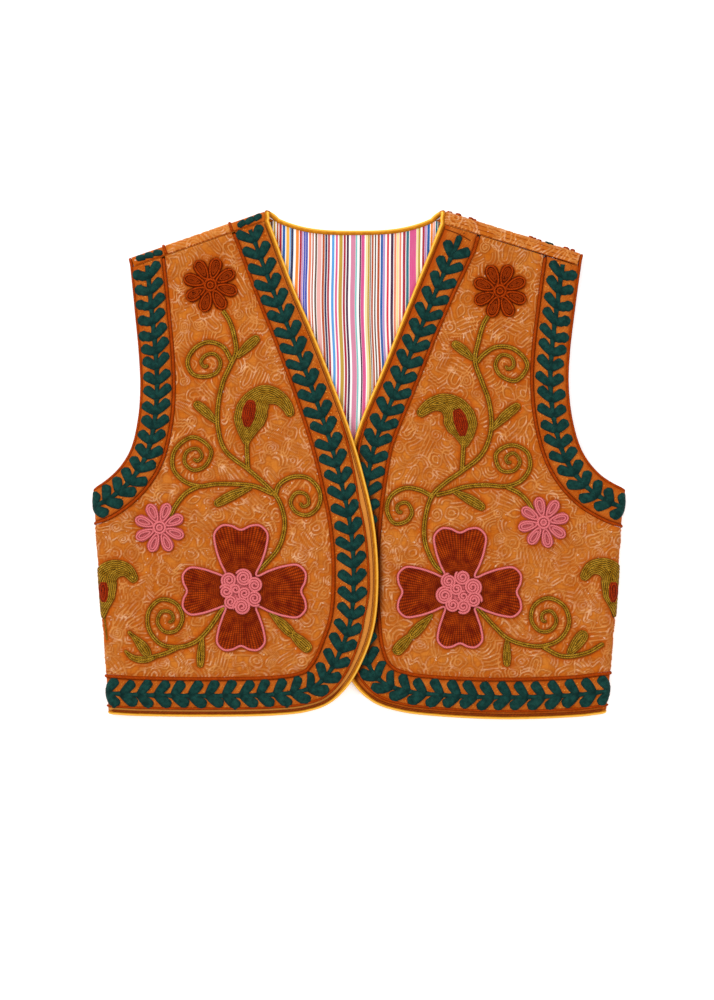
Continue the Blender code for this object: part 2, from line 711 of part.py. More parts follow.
def build_armhole_piping(side):
    """A closed loop: up the front of the armhole, over the shoulder and down the back."""
    line = ARMHOLE[side].offset(ARMHOLE_PIPING_R)
    top = seam_reach(line, side, FOLD_R)
    foot = rolled_reach(line, side, math.pi)
    out, up = line.at(np.arange(foot, top, 3.0)).T
    start = fold_start(side, up)
    turned = ease((out - start) / (math.pi * FOLD_R))
    centre = -CLOTH / 2 * (1 - turned) - ARMHOLE_PIPING_R * turned
    front = lay_front(side, out, up, centre)
    base = line.at(top)
    _, _, across = shoulder_frame(side)
    angles = np.linspace(0, math.pi, 8)[1:-1]
    radius = FOLD_R - CLOTH / 2
    swing = np.sin(angles)[:, None] * radius
    flat = np.array([SIGN[side] * base[0], base[1]])
    over = flat + swing * np.array([SIGN[side] * across[0], across[1]])
    height = FOLD_R + radius * np.cos(angles)
    over = np.hstack([over, height[:, None]])
    keep = out < fold_start(side, up) - 2
    back = np.stack([SIGN[side] * out, up, np.full_like(up, ARMHOLE_PIPING_R)], 1)[keep][::-1]
    path = smooth(np.vstack([front, over, back, front[:1]]), 1.5)
    tube("armhole_piping_" + side, thinned(path, 0.5)[:-1], ARMHOLE_PIPING_R, "rust", closed=True)


# ---------------------------------------------------------------- embroidery
# Length is measured from the stem's edge, base and width across the leaf, tilt is in degrees.
Leaf = namedtuple("Leaf", "length tilt base width")
# Leaves where a vine climbs, and where it lies level along the hem, on its inner and outer sides.
Vine = namedtuple("Vine", "pitch stem inner outer hem_inner hem_outer")
EDGE_VINE = Vine(
    17.2, 4.8, Leaf(17.3, 48, 6.4, 9.6), Leaf(15.2, 43, 6.0, 9.2),
    Leaf(14.4, 56, 6.0, 9.2), Leaf(15.2, 37, 4.4, 8.4),
)
ARMHOLE_VINE = Vine(
    15.6, 4.4, Leaf(15.8, 44, 5.2, 8.0), Leaf(13.2, 62, 6.4, 9.2),
    Leaf(15.0, 46, 5.4, 8.4), Leaf(13.8, 50, 5.4, 8.8),
)


# A leaf's outline from its back edge round the tip: share of its length, and of its half width.
LeafRow = namedtuple("LeafRow", "reach half")
LEAF_ROWS = (LeafRow(0.66, 1.0), LeafRow(0.99, 0.55), LeafRow(0.93, -0.72))


def leaf_of(vine, inner, level):
    """The leaf for a side of the stem. level is 0 where the vine climbs and 1 where it lies level."""
    steep, flat = (vine.inner, vine.hem_inner) if inner else (vine.outer, vine.hem_outer)
    return Leaf(*((1 - level) * np.array(steep) + level * np.array(flat)))


def vine_side(vine, nodes, levels, inner, way):
    """One side of a vine in strip coordinates, length along the stem and distance beside it."""
    points = []
    for node, level in zip(nodes, levels, strict=True):
        leaf = leaf_of(vine, inner, level)
        tilt = math.radians(leaf.tilt)
        along = np.array([math.cos(tilt), math.sin(tilt)])
        beside = np.array([-along[1], along[0]])
        foot = leaf.base / math.sin(tilt) / 2
        root = np.array([node + vine.stem / 2 / math.tan(tilt), vine.stem / 2])
        points.append(root - (foot, 0))
        for row in LEAF_ROWS:
            points.append(root + along * leaf.length * row.reach + beside * leaf.width / 2 * row.half)
        points.append(root + (foot, 0))
    return [(s, way * off) for s, off in points]


def build_vine(name, line, start, end, vine, side):
    """A green vine up a band: a stem with a pair of leaves at every node, as one solid.

    It grows from start to end, which are lengths along the line.
    """
    grow = 1 if end > start else -1
    count = int(abs(end - start) // vine.pitch)
    pitch = (abs(end - start) - 14) / count
    nodes = [1.5 + k * pitch for k in range(count + 1)]
    levels = [float(ease((abs(line.heading(start + grow * s)[0]) - 0.5) / 0.4)) for s in nodes]
    left = vine_side(vine, nodes, levels, True, 1.0)
    right = vine_side(vine, nodes, levels, False, -1.0)
    tip = [(abs(end - start), 0.0)]
    shape = np.array([*left, *tip, *right[::-1], (min(0.0, left[0][0] - 0.5, right[0][0] - 0.5), 0.0)])
    s = start + grow * shape[:, 0]
    outline = line.beside(s, shape[:, 1] * grow)
    bm = slab(outline, ON_BAND, ON_BAND + STITCH_H)
    cut_for_fold(bm, side, outline[:, 1].mean() if "armhole" not in name else UNDERARM_UP - 16)
    move_all(bm, lambda out, up, proud: lay_front(side, out, up, proud))
    return finish(name, bm, "vine_green")


def cut_for_fold(bm, side, up):
    """Adds the edges that a flat solid needs to bend round the side fold."""
    lean = fold_start(side, up + 20.0) - fold_start(side, up - 20.0)
    normal = np.array([40.0, -lean, 0]) / math.hypot(40.0, lean)
    for k in range(0, 5):
        place = (fold_start(side, up) + k * FOLD_R * math.pi / 6, up, 0)
        geom = bm.verts[:] + bm.edges[:] + bm.faces[:]
        bmesh.ops.bisect_plane(bm, geom=geom, plane_co=place, plane_no=normal, dist=0.02)


def build_vines(side):
    line = EDGE[side].offset((band_width(side) + 2 * BINDING_R) / 2)
    start = rolled_reach(line, side, VINE_TURN)
    end = seam_reach(line, side, SEAM_DROP[side] + 3)
    build_vine("front_vine_" + side, line, start, end, EDGE_VINE, side)
    line = ARMHOLE[side].offset(ARMHOLE_BAND[side] / 2)
    start = rolled_reach(line, side, VINE_TURN)
    end = seam_reach(line, side, SEAM_DROP[side] + 3)
    build_vine("armhole_vine_" + side, line, start, end, ARMHOLE_VINE, side)


def stroke_outline(knots, widths, step):
    """Outline of a stroke that follows the knots. widths are its widths at equal shares along."""
    spine = Line(smooth(knots, 0.8))
    count = max(3, round(spine.length / step))
    s = np.linspace(0, spine.length, count + 1)
    half = np.interp(s / spine.length, np.linspace(0, 1, len(widths)), widths) / 2
    left, right = spine.beside(s, half), spine.beside(s, -half)
    nose = spine.at(s[-1]) + spine.heading(s[-1]) * half[-1] * 0.8
    return np.vstack([left, nose[None], right[::-1]])


def cut_across(bm):
    """Cuts a flat solid along evenly spaced lines, so that it can follow the cloth."""
    flat = np.array([v.co for v in bm.verts], float)
    for axis in (0, 1):
        low, high = flat[:, axis].min(), flat[:, axis].max()
        normal = (1, 0, 0) if axis == 0 else (0, 1, 0)
        for k in range(math.ceil(low / CUT_PITCH), math.floor(high / CUT_PITCH) + 1):
            place = (k * CUT_PITCH, k * CUT_PITCH, 0)
            geom = bm.verts[:] + bm.edges[:] + bm.faces[:]
            bmesh.ops.bisect_plane(bm, geom=geom, plane_co=place, plane_no=normal, dist=0.02)


def build_union(name, outlines, slot, side, base=ON_FIELD, height=STITCH_H):
    """Several flat outlines joined into one raised solid on a front."""
    made = []
    for k, outline in enumerate(outlines):
        bm = slab(outline, base + 0.003 * k, base + height + 0.03 * (k % 3) + 0.01 * k)
        bmesh.ops.recalc_face_normals(bm, faces=bm.faces[:])
        mesh = bpy.data.meshes.new(f"{name}_stroke_{k}")
        bm.to_mesh(mesh)
        bm.free()
        piece = bpy.data.objects.new(f"{name}_stroke_{k}", mesh)
        WAISTCOAT.objects.link(piece)
        made.append(piece)
    for cutter in made[1:]:
        join = made[0].modifiers.new("join", "BOOLEAN")
        join.operation = "UNION"
        join.object = cutter
    graph = bpy.context.evaluated_depsgraph_get()
    joined = bpy.data.meshes.new_from_object(made[0].evaluated_get(graph))
    for piece in made:
        bpy.data.objects.remove(piece)
    bm = bmesh.new()
    bm.from_mesh(joined)
    bpy.data.meshes.remove(joined)
    bmesh.ops.triangulate(bm, faces=[f for f in bm.faces if len(f.verts) > 4])
    move_all(bm, lambda out, up, proud: lay_front(side, out, up, proud))
    return finish(name, bm, slot)


# Round flowers: middle, reach of a petal, the waist between petals and the first petal's angle.
Flower = namedtuple("Flower", "side name out up reach waist first slot")
FLOWERS = (
    Flower("right", "rust_flower", 146.5, 433, 28.0, 0.42, 15, "brick"),
    Flower("right", "pink_flower", 197.4, 190.5, 26.0, 0.38, 20, "pink"),
    Flower("left", "rust_flower", 143, 427, 28.0, 0.42, 24, "brick"),
    Flower("left", "pink_flower", 186.5, 195.6, 26.0, 0.38, 12, "pink"),
)
PETALS = 8
# The four petals' reaches are in the order outer, top, inner and bottom.
BigFlower = namedtuple("BigFlower", "out up reaches")
BIG_FLOWER = {
    "right": BigFlower(116.0, 127.0, (61.0, 69.0, 68.0, 62.0)),
    "left": BigFlower(103.0, 126.0, (64.0, 67.0, 65.0, 58.0)),
}
HEART_REACH = 23.0
# A quarter of the big flower, from a petal's axis to the gap before the next petal.
PetalRow = namedtuple("PetalRow", "angle share")
PETAL_ROWS = (
    PetalRow(0, 0.90),
    PetalRow(8, 0.965),
    PetalRow(16, 1.0),
    PetalRow(25, 0.93),
    PetalRow(31, 0.73),
    PetalRow(37, 0.51),
    PetalRow(45, 0.35),
)
# Stitched lines: their shape, and the points that each runs through, in out, up pairs.
Stroke = namedtuple("Stroke", "shape knots")
SHAPES = {  # widths at equal shares of the length, and whether the outline is a tight one
    "stem": (4.6, 4.6),
    "scroll": (4.6, 4.6, 4.2, 4.0),
    "leaf": (4.0, 7.5, 10.0, 9.8, 7.0),
    "broad_leaf": (5.0, 12.0, 13.0, 9.0, 5.0),
    "slim_leaf": (3.0, 7.0, 8.5, 6.0),
    "low_leaf": (2.4, 4.5, 9.0, 10.0, 8.6, 11.0, 11.5, 9.0),
    "paisley": (4.0, 18.0, 31.0, 33.0, 27.0, 20.0, 15.0, 12.0, 8.0),
    "side_paisley": (4.0, 21.0, 27.0, 28.0, 26.0, 21.0, 16.0, 12.0, 8.0),
}
UPPER_STROKES = {
    "right": (
        Stroke("stem", ((134, 407), (128, 398), (123, 383), (121, 366), (127, 352), (134, 336),
                        (139, 312), (139, 290), (132, 268), (108, 248), (88, 230), (79, 219),
                        (74, 206), (72.4, 192), (78, 171), (88.5, 158))),
        Stroke("leaf", ((121, 360), (110, 371), (98, 382))),
        Stroke("scroll", ((125, 356), (134, 371), (149, 376), (163, 369), (169.5, 356), (164, 344),
                          (151, 341), (141, 347), (138, 358), (146, 365), (153, 358))),
        Stroke("leaf", ((140, 295), (151, 306), (163, 316))),
        Stroke("stem", ((109, 248), (110, 264), (110, 280))),
        Stroke("paisley", ((111, 273), (110, 287), (107, 301), (101, 315), (91, 323), (78, 320),
                           (69, 310), (66, 301))),
        Stroke("scroll", ((82, 222), (78, 233), (65, 241), (49, 240), (37.5, 227), (38.5, 212),
                          (49, 203), (61, 207), (65, 217), (57, 223), (51, 217))),
        Stroke("scroll", ((84, 224), (103, 232), (124, 234), (142, 234), (158, 232), (173, 237),
                          (184, 250), (182, 268), (164, 281), (146, 268), (152, 252), (164, 248),
                          (172, 257), (168, 266), (160, 262))),
        Stroke("leaf", ((105, 231), (124, 223), (143, 213))),
        Stroke("stem", ((158, 232), (171, 225), (181, 213))),
    ),
    "left": (
        Stroke("stem", ((131, 402), (126, 393), (121, 375), (118, 357), (125, 336), (132, 316),
                        (134, 288), (125, 264), (105, 247), (88, 235), (75, 222), (68, 198),
                        (68, 176), (76, 156))),
        Stroke("leaf", ((117, 358), (106, 368), (95, 376))),
        Stroke("scroll", ((120, 356), (126, 363), (139, 371), (157, 369), (170.5, 353), (159, 337),
                          (142, 343), (139, 357), (150, 361))),
        Stroke("leaf", ((134, 288), (148, 302), (163, 314))),
        Stroke("stem", ((105, 248), (106, 264), (107, 280))),
        Stroke("paisley", ((108, 270), (107, 285), (103, 298), (97, 309), (87, 315), (76, 314),
                           (67, 308), (61, 302))),
        Stroke("scroll", ((76, 221), (63, 228), (48, 230), (34, 222), (30, 208), (37, 195),
                          (49, 197), (53, 207), (44, 212))),
        Stroke("scroll", ((79, 223), (92, 226), (107, 231), (128, 233), (150, 232), (165, 238),
                          (173, 251), (170, 266), (154, 273), (139, 264), (144, 248), (158, 248),
                          (160, 259), (153, 262))),
        Stroke("leaf", ((96, 227), (112, 219), (128, 209))),
        Stroke("stem", ((150, 231), (162, 225), (170, 218))),
    ),
}
LOWER_STROKES = {
    "right": (
        Stroke("scroll", ((139, 103), (151, 86), (162, 76), (178, 71), (196, 74), (208, 89),
                          (208, 107), (196, 119), (181, 115), (175, 100), (182, 87), (195, 89),
                          (197, 99))),
        Stroke("stem", ((178, 71), (196, 63), (212, 60), (230, 61), (240, 68))),
        Stroke("broad_leaf", ((209, 62), (222, 76), (233, 89))),
        Stroke("slim_leaf", ((154.5, 82), (156, 66), (157, 50))),
    ),
    "left": (
        Stroke("scroll", ((127, 103), (138, 91), (150, 80), (165, 74), (185, 72), (203, 79),
                          (212, 95), (207, 112), (191, 121), (177, 112), (175, 97), (184, 88),
                          (195, 94), (193, 104))),
        Stroke("stem", ((186, 71), (205, 62), (229, 65), (247, 75))),
        Stroke("broad_leaf", ((212, 63), (223, 77), (233, 89.5))),
        Stroke("slim_leaf", ((150, 80), (150, 65), (150, 51))),
    ),
}
LOW_LEAF = {
    "right": ((84, 101), (68, 87), (46, 67)),
    "left": ((71, 98), (56, 84), (37, 64)),
}
SIDE_PAISLEY = {  # measured from the start of the side fold
    "right": ((5, 94), (4, 106), (3, 119), (2, 133), (-2, 143), (-11, 149), (-22, 148), (-31, 136)),
    "left": ((6, 95), (5, 107), (4, 121), (3, 135), (-1, 145), (-10, 151), (-21, 150), (-30, 138)),
}


def flower_outline(centre, reach, waist, first, points=32):
    """Round-petalled flower: reach to a petal's end, waist is the share of it between petals."""
    turn = np.linspace(0, 2 * math.pi, points, endpoint=False)
    lobe = np.abs(np.cos(PETALS * turn / 2)) ** 0.55
    r = reach * (waist + (1 - waist) * lobe)
    angle = turn + math.radians(first)
    return np.stack([centre[0] + r * np.cos(angle), centre[1] + r * np.sin(angle)], 1)


def big_flower_outline(flower):
    """Four heart-shaped petals, from the petal's profile on both sides of its axis."""
    angles, out_share = column(PETAL_ROWS, "angle"), column(PETAL_ROWS, "share")
    turns = np.concatenate([-angles[:0:-1], angles[:-1]])
    petal = np.concatenate([out_share[:0:-1], out_share[:-1]])
    turn = np.radians(np.concatenate([90 * k + turns for k in range(4)]))
    reach = np.concatenate([petal * flower.reaches[k] for k in range(4)])
    between = np.abs(np.concatenate([turns] * 4)) == 45
    reach[between] = PETAL_ROWS[-1].share * np.mean(flower.reaches)
    return np.stack([flower.out + reach * np.cos(turn), flower.up + reach * np.sin(turn)], 1)


def raised(name, outline, low, slot, side, cut=True):
    bm = slab(outline, low, low + STITCH_H)
    if cut:
        cut_across(bm)
    move_all(bm, lambda out, up, proud: lay_front(side, out, up, proud))
    return finish(name, bm, slot)


def build_flowers(side):
    for f in FLOWERS:
        if f.side == side:
            outline = flower_outline((f.out, f.up), f.reach, f.waist, f.first)
            raised(f"{f.name}_{side}", outline, ON_FIELD, f.slot, side)
    raised("big_flower_" + side, big_flower_outline(BIG_FLOWER[side]), ON_FIELD, "brick", side)
    heart = flower_outline(BIG_FLOWER[side][:2], HEART_REACH, 0.86, 10, 24)
    raised("flower_heart_" + side, heart, ON_FIELD + STITCH_H + SEAM_CLEAR, "pink", side)


def outline_of(stroke):
    shape = stroke_outline(stroke.knots, SHAPES[stroke.shape], 2.0)
    return thinned(np.vstack([shape, shape[:1]]), 0.7, 30.0)[:-1]


def build_stems(side):
    """Olive stems, leaves and scrolls, and the paisley that rolls round the side fold."""
    upper = [outline_of(stroke) for stroke in UPPER_STROKES[side]]
    build_union("upper_stems_" + side, upper, "olive", side)
    lower = [outline_of(stroke) for stroke in LOWER_STROKES[side]]
    build_union("lower_stems_" + side, lower, "olive", side)
    raised("low_leaf_" + side, outline_of(Stroke("low_leaf", LOW_LEAF[side])), ON_FIELD, "olive", side)
    knots = np.array(SIDE_PAISLEY[side], float)
    knots[:, 0] += fold_start(side, knots[:, 1])
    outline = outline_of(Stroke("side_paisley", knots))
    limit = fold_start(side, outline[:, 1]) + VINE_TURN * FOLD_R
    outline[:, 0] = np.minimum(outline[:, 0], limit)
    bm = slab(outline, ON_FIELD, ON_FIELD + STITCH_H)
    cut_for_fold(bm, side, 120.0)
    move_all(bm, lambda out, up, proud: lay_front(side, out, up, proud))
    finish("side_paisley_" + side, bm, "olive")


# ---------------------------------------------------------------- the garment
for leftover in list(bpy.data.objects):
    bpy.data.objects.remove(leftover)
WAISTCOAT = bpy.data.collections.new("embroidered_waistcoat")
bpy.context.scene.collection.children.link(WAISTCOAT)

build_back()
build_lining()
build_binding()
for which in SIDES:
    build_field(which)
    build_edge_band(which)
    build_armhole_band(which)
    build_pipings(which)
    build_vines(which)
    build_flowers(which)
    build_stems(which)
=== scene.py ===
# %% [markdown]
# # An embroidered waistcoat, laid out flat
# This lesson dresses a imported CAD model of a quilted, embroidered waistcoat. Each step says what the
# piece is on the real garment, how it could be made in Blender, and why one way was chosen. The CAD
# model gives the size and the place of everything, so first it is loaded.

import math
from collections import namedtuple

import bmesh
import bpy
import numpy as np
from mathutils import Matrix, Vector, kdtree


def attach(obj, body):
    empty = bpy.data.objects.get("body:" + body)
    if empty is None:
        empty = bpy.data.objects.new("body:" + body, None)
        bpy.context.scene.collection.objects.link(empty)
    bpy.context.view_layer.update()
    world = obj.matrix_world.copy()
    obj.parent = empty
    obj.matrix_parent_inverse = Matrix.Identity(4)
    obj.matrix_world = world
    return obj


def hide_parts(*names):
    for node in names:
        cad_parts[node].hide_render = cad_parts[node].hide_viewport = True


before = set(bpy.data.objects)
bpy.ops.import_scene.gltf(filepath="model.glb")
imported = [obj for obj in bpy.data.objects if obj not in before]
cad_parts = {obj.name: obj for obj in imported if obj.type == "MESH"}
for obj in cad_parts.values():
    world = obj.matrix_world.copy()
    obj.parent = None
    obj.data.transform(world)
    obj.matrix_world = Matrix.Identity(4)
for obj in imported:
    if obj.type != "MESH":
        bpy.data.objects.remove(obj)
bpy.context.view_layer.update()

# %% [markdown]
# ## The stage
# The garment lies on a pale surface and is seen straight from above. A camera on a long lens, far
# away, hardly bends the cloth's straight lines. The frame is 1000 mm tall at the height of the cloth,
# so one pixel of a 714 by 1000 picture is one millimetre.

# %% Camera
LOOK_AT = Vector((-0.0018, -0.0347, 0.009))  # middle of the frame, on the cloth
CAMERA_HEIGHT = 3.0
FRAME_TALL = 1.0
SENSOR = 36.0

camera_data = bpy.data.cameras.new("camera")
camera_data.sensor_width = SENSOR
camera_data.lens = SENSOR * CAMERA_HEIGHT / FRAME_TALL
camera = bpy.data.objects.new("camera", camera_data)
camera.location = LOOK_AT + Vector((0, 0, CAMERA_HEIGHT))
bpy.context.scene.collection.objects.link(camera)
bpy.context.scene.camera = camera
bpy.context.scene.view_settings.view_transform = "Standard"  # thread colours stay as they are dyed
print("Lens of", round(camera_data.lens), "mm")

# %% [markdown]
# Soft light from a large lamp above and to the left shows the relief of the stitching. A second,
# weaker lamp and a bright world fill the shadows, as two big windows would.


# %% Lights and floor
def lamp(name, place, size, power):
    light = bpy.data.lights.new(name, "AREA")
    light.size, light.energy = size, power
    made = bpy.data.objects.new(name, light)
    made.location = place
    made.rotation_euler = (LOOK_AT - Vector(place)).to_track_quat("-Z", "Y").to_euler()
    bpy.context.scene.collection.objects.link(made)


lamp("key_light", (-1.5, 1.5, 1.7), 1.0, 40)
lamp("fill_light", (1.4, -0.6, 2.2), 1.6, 18)

world = bpy.data.worlds.new("studio")
world.use_nodes = True
world.node_tree.nodes["Background"].inputs["Color"].default_value = (1, 1, 1, 1)
world.node_tree.nodes["Background"].inputs["Strength"].default_value = 0.72
bpy.context.scene.world = world


# %% [markdown]
# ## Colour and node helpers
# Colours are written as sRGB hex values, as a paint chart gives them, and one function turns them
# into the linear values that shaders use. Another adds a node, with its settings, and with a value or
# another node's output on each of its inputs. The rest are what the cloths and threads share: uneven
# blotches, ribs, and colour laid on here more than there, which is dye in some places and painted
# shade and highlight in others.

# %% Helpers for materials
MM = 0.001
METRE = 1000.0  # in millimetres, so METRE / 9 is the scale of a pattern with lumps 9 mm across
COLOURS = {"out": 2, "data_type": "RGBA"}  # for a Mix node, whose inputs 6 and 7 are the two colours


def colour(code):
    """Linear red, green, blue and alpha of an sRGB hex value."""
    levels = [int(code[k : k + 2], 16) / 255 for k in (1, 3, 5)]
    linear = [v / 12.92 if v <= 0.04045 else ((v + 0.055) / 1.055) ** 2.4 for v in levels]
    return (*linear, 1.0)


def node(tree, kind, inputs=None, out=0, **settings):
    """Adds a node with its settings, sets or links its inputs, and gives one of its outputs."""
    made = tree.nodes.new("ShaderNode" + kind)
    for key, value in settings.items():
        setattr(made, key, value)
    for socket, value in (inputs or {}).items():
        if isinstance(value, bpy.types.NodeSocket):
            tree.links.new(value, made.inputs[socket])
        else:
            made.inputs[socket].default_value = value
    return made.outputs[out]


def cloth_material(name, roughness, sheen=0.0):
    """A new material with its shader, and the tree to add to."""
    made = bpy.data.materials.new(name)
    made.use_nodes = True
    tree = made.node_tree
    shader = tree.nodes["Principled BSDF"]
    shader.inputs["Roughness"].default_value = roughness
    shader.inputs["Specular IOR Level"].default_value = 0.04
    shader.inputs["Sheen Weight"].default_value = sheen
    shader.inputs["Sheen Roughness"].default_value = 0.5
    return made, tree, shader


def blotches(tree, place, pitch, detail, rough, low, high):
    """Uneven patches about pitch millimetres across: noise, stretched so that low gives 0, high 1."""
    values = {"Vector": place, "Scale": METRE / pitch, "Detail": detail, "Roughness": rough}
    return node(tree, "MapRange", {0: node(tree, "TexNoise", values), 1: low, 2: high})


def ribbed(tree, length, pitch, low, high):
    """Ribs a pitch apart along a length: a wave, stretched so that low gives 0 and high gives 1."""
    phase = node(tree, "Math", {0: length, 1: 2 * math.pi / pitch}, operation="MULTIPLY")
    wave = node(tree, "Math", {0: phase}, operation="SINE")
    return node(tree, "MapRange", {0: wave, 1: low, 2: high})


def tinted(tree, tone, mask, code, share=1.0):
    """The tone, with a share of another colour in it where the mask is 1, for dye, painted shade and
    painted highlights alike.
    """
    dye = colour(code)
    if share < 1:
        dye = node(tree, "Mix", {0: share, 6: tone, 7: dye}, **COLOURS)
    return node(tree, "Mix", {0: mask, 6: tone, 7: dye}, **COLOURS)


def tinted_between(tree, tone, mask, code, share):
    """The tone, with a share of another colour in it where the mask is 0, as between ribs; it also
    paints shade into creases and soft folds.
    """
    dye = node(tree, "Mix", {0: share, 6: tone, 7: colour(code)}, **COLOURS)
    return node(tree, "Mix", {0: mask, 6: dye, 7: tone}, **COLOURS)


def finish_cloth(tree, shader, tone, height, strength, depth):
    """Gives the shader its colour, and a relief that is depth millimetres deep."""
    values = {"Height": height, "Strength": strength, "Distance": depth * MM}
    tree.links.new(tone, shader.inputs["Base Color"])
    tree.links.new(node(tree, "Bump", values), shader.inputs["Normal"])


# %% [markdown]
# The floor is a plain pale sheet, a little below the lowest point of the cloth.

# %% Floor
floor_bm = bmesh.new()
bmesh.ops.create_grid(floor_bm, x_segments=1, y_segments=1, size=6.0)
bmesh.ops.translate(floor_bm, vec=(0, 0, -0.0004), verts=floor_bm.verts[:])
floor_mesh = bpy.data.meshes.new("floor")
floor_bm.to_mesh(floor_mesh)
floor_bm.free()
floor = bpy.data.objects.new("floor", floor_mesh)
bpy.context.scene.collection.objects.link(floor)
floor_material, _, floor_shader = cloth_material("pale_table", 0.9)
floor_shader.inputs["Base Color"].default_value = colour("#FFFFFF")
floor_shader.inputs["Emission Color"].default_value = colour("#FFFFFF")
floor_shader.inputs["Emission Strength"].default_value = 0.3
floor_mesh.materials.append(floor_material)

# %% [markdown]
# ## The pattern
# A dressmaker works on flat paper and lets the cloth fall into shape afterwards. So does this script.
# Everything is placed in pattern space, in millimetres: `out` is the distance from the centre line
# towards the wearer's side, and `up` is the height above the hem. The tables hold the cut edges of the
# CAD model. Only near the neck have they been let out a little since, by 3 mm at most.

# %% Tables of the cut
CLOTH = 2.6  # thickness of the padded cloth
FOLD_R = 5.7  # outer radius of the soft folds at the sides and over the shoulders
FRONT_REST = 8.1  # height of a front's face where it rests on the back
FOLD_EASE, SHOULDER_EASE, LIFT_EASE = 45.0, 40.0, 55.0  # how far each slope of the cloth runs out
OVERLAP_LIFT = 5.7  # how much the right front rises to lie on the left one
UNDER_TURN = 6.0  # from the side fold to the side seam, on the underside
BINDING_R, PIPING_R, ARMHOLE_PIPING_R = 2.2, 1.6, 1.5
PAGE_X, PAGE_Y = 1.83, 252.73  # the frame's origin, in pattern space
BACK_ARCH = 40.0  # rise of the back's hem at its middle
NECK_DROP, NECK_POWER = 19.4, 2.9  # how deep the back neck is, and how square
SIDES = ("right", "left")
SIGN = {"right": -1.0, "left": 1.0}
SEAM_DROP = {"right": 10.0, "left": 13.0}  # from the shoulder fold down to the seam in front
NECK_POINT = {"right": (92.0, 507.0), "left": (88.0, 507.0)}
SHOULDER_TIP = {"right": (228.0, 460.0), "left": (226.0, 464.0)}
UNDERARM_UP = 228.0
ARMHOLE_BAND = {"right": 34.0, "left": 37.0}  # width

FoldRow = namedtuple("FoldRow", "up right left")
FOLD_ROWS = (
    FoldRow(-10, 248, 247),
    FoldRow(20, 249.5, 251),
    FoldRow(78, 253, 256),
    FoldRow(138, 257.5, 260.5),
    FoldRow(198, 262, 265),
    FoldRow(230, 264, 269),
)
ArmholeRow = namedtuple("ArmholeRow", "right_out right_up left_out left_up")
ARMHOLE_ROWS = (
    ArmholeRow(300, 227, 305, 227),
    ArmholeRow(284, 227, 289, 227),
    ArmholeRow(268, 228.5, 272, 228.5),
    ArmholeRow(258, 233, 262, 232),
    ArmholeRow(240, 248, 243, 244),
    ArmholeRow(227, 268, 226, 266),
    ArmholeRow(219.5, 298, 216, 298),
    ArmholeRow(217, 330, 212, 335),
    ArmholeRow(218.5, 365, 213.5, 368),
    ArmholeRow(222, 402, 217.5, 402),
    ArmholeRow(228, 462, 226, 464),
    ArmholeRow(233, 492, 232, 494),
)
EdgeRow = namedtuple("EdgeRow", "right_out right_up right_band left_out left_up left_band")
EDGE_ROWS = (
    EdgeRow(98, 521, 37, 95, 523, 39),
    EdgeRow(92, 507, 37, 89, 507, 39),
    EdgeRow(87.4, 495, 37, 83.6, 494, 40),
    EdgeRow(82.3, 482, 37, 78.8, 482, 41),
    EdgeRow(63.6, 432, 37, 59.6, 435, 38),
    EdgeRow(45.6, 390, 38, 43.2, 394, 37),
    EdgeRow(28, 346, 39, 26.2, 351, 37),
    EdgeRow(6, 286, 41, -1.5, 283, 38),
    EdgeRow(-8, 238, 43, -12, 238, 40),
    EdgeRow(-17.5, 194, 44, -19, 194, 42),
    EdgeRow(-21.5, 141, 45, -22.5, 141, 43),
    EdgeRow(-18, 94, 45, -20.5, 94, 43),
    EdgeRow(-8, 62, 45, -15, 60, 42),
    EdgeRow(8, 33, 43, -3, 33, 41),
    EdgeRow(28, 14, 41, 17, 15, 40),
    EdgeRow(50, 6, 39, 44, 6, 39),
    EdgeRow(80, 2.5, 38, 75, 2, 39),
    EdgeRow(150, 1, 38, 147, -1.5, 40),
    EdgeRow(220, 2, 38, 220, 1, 40),
    EdgeRow(252, 4, 38, 255, 5, 40),
    EdgeRow(300, 5, 38, 305, 6, 40),
)
Ridge = namedtuple("Ridge", "out0 up0 out1 up1 spread rise")
RIDGES = {
    "right": (
        Ridge(236, 226, 176, 286, 13, 1.5),
        Ridge(214, 46, 196, 168, 15, 1.3),
        Ridge(148, 40, 150, 116, 13, 1.1),
        Ridge(150, 300, 128, 420, 16, 1.2),
        Ridge(92, 330, 150, 250, 14, 0.9),
    ),
    "left": (
        Ridge(240, 224, 186, 300, 14, 1.6),
        Ridge(206, 44, 214, 150, 14, 1.4),
        Ridge(128, 42, 116, 130, 14, 1.0),
        Ridge(146, 290, 138, 400, 15, 1.3),
        Ridge(196, 190, 130, 214, 15, 1.0),
    ),
}


# %% [markdown]
# A smooth line is drawn through each table's points with a Catmull-Rom curve, which passes through
# every point. `Line` can then be asked for the point, the direction or the parallel line at any
# length along it, as a tape measure laid on the pattern would give.


# %% Lines on the pattern
def ease(t):
    """0 below 0, 1 above 1, and a smooth step between."""
    t = np.clip(t, 0.0, 1.0)
    return t * t * (3 - 2 * t)


def smooth(knots, step=1.0):
    """Points along a centripetal Catmull-Rom curve through the knots, about step apart."""
    knots = np.array(knots, float)
    ends = np.vstack([2 * knots[0] - knots[1], knots, 2 * knots[-1] - knots[-2]])
    pieces = []
    for k in range(1, len(ends) - 2):
        p = ends[k - 1 : k + 3]
        t = np.concatenate([[0], np.cumsum(np.sqrt(np.linalg.norm(np.diff(p, axis=0), axis=1)))])
        count = max(2, round(np.linalg.norm(p[2] - p[1]) / step))
        u = np.linspace(t[1], t[2], count, endpoint=False)[:, None]
        a = [((t[i + 1] - u) * p[i] + (u - t[i]) * p[i + 1]) / (t[i + 1] - t[i]) for i in range(3)]
        b = [((t[i + 2] - u) * a[i] + (u - t[i]) * a[i + 1]) / (t[i + 2] - t[i]) for i in range(2)]
        pieces.append(((t[2] - u) * b[0] + (u - t[1]) * b[1]) / (t[2] - t[1]))
    return np.vstack([*pieces, knots[-1:]])


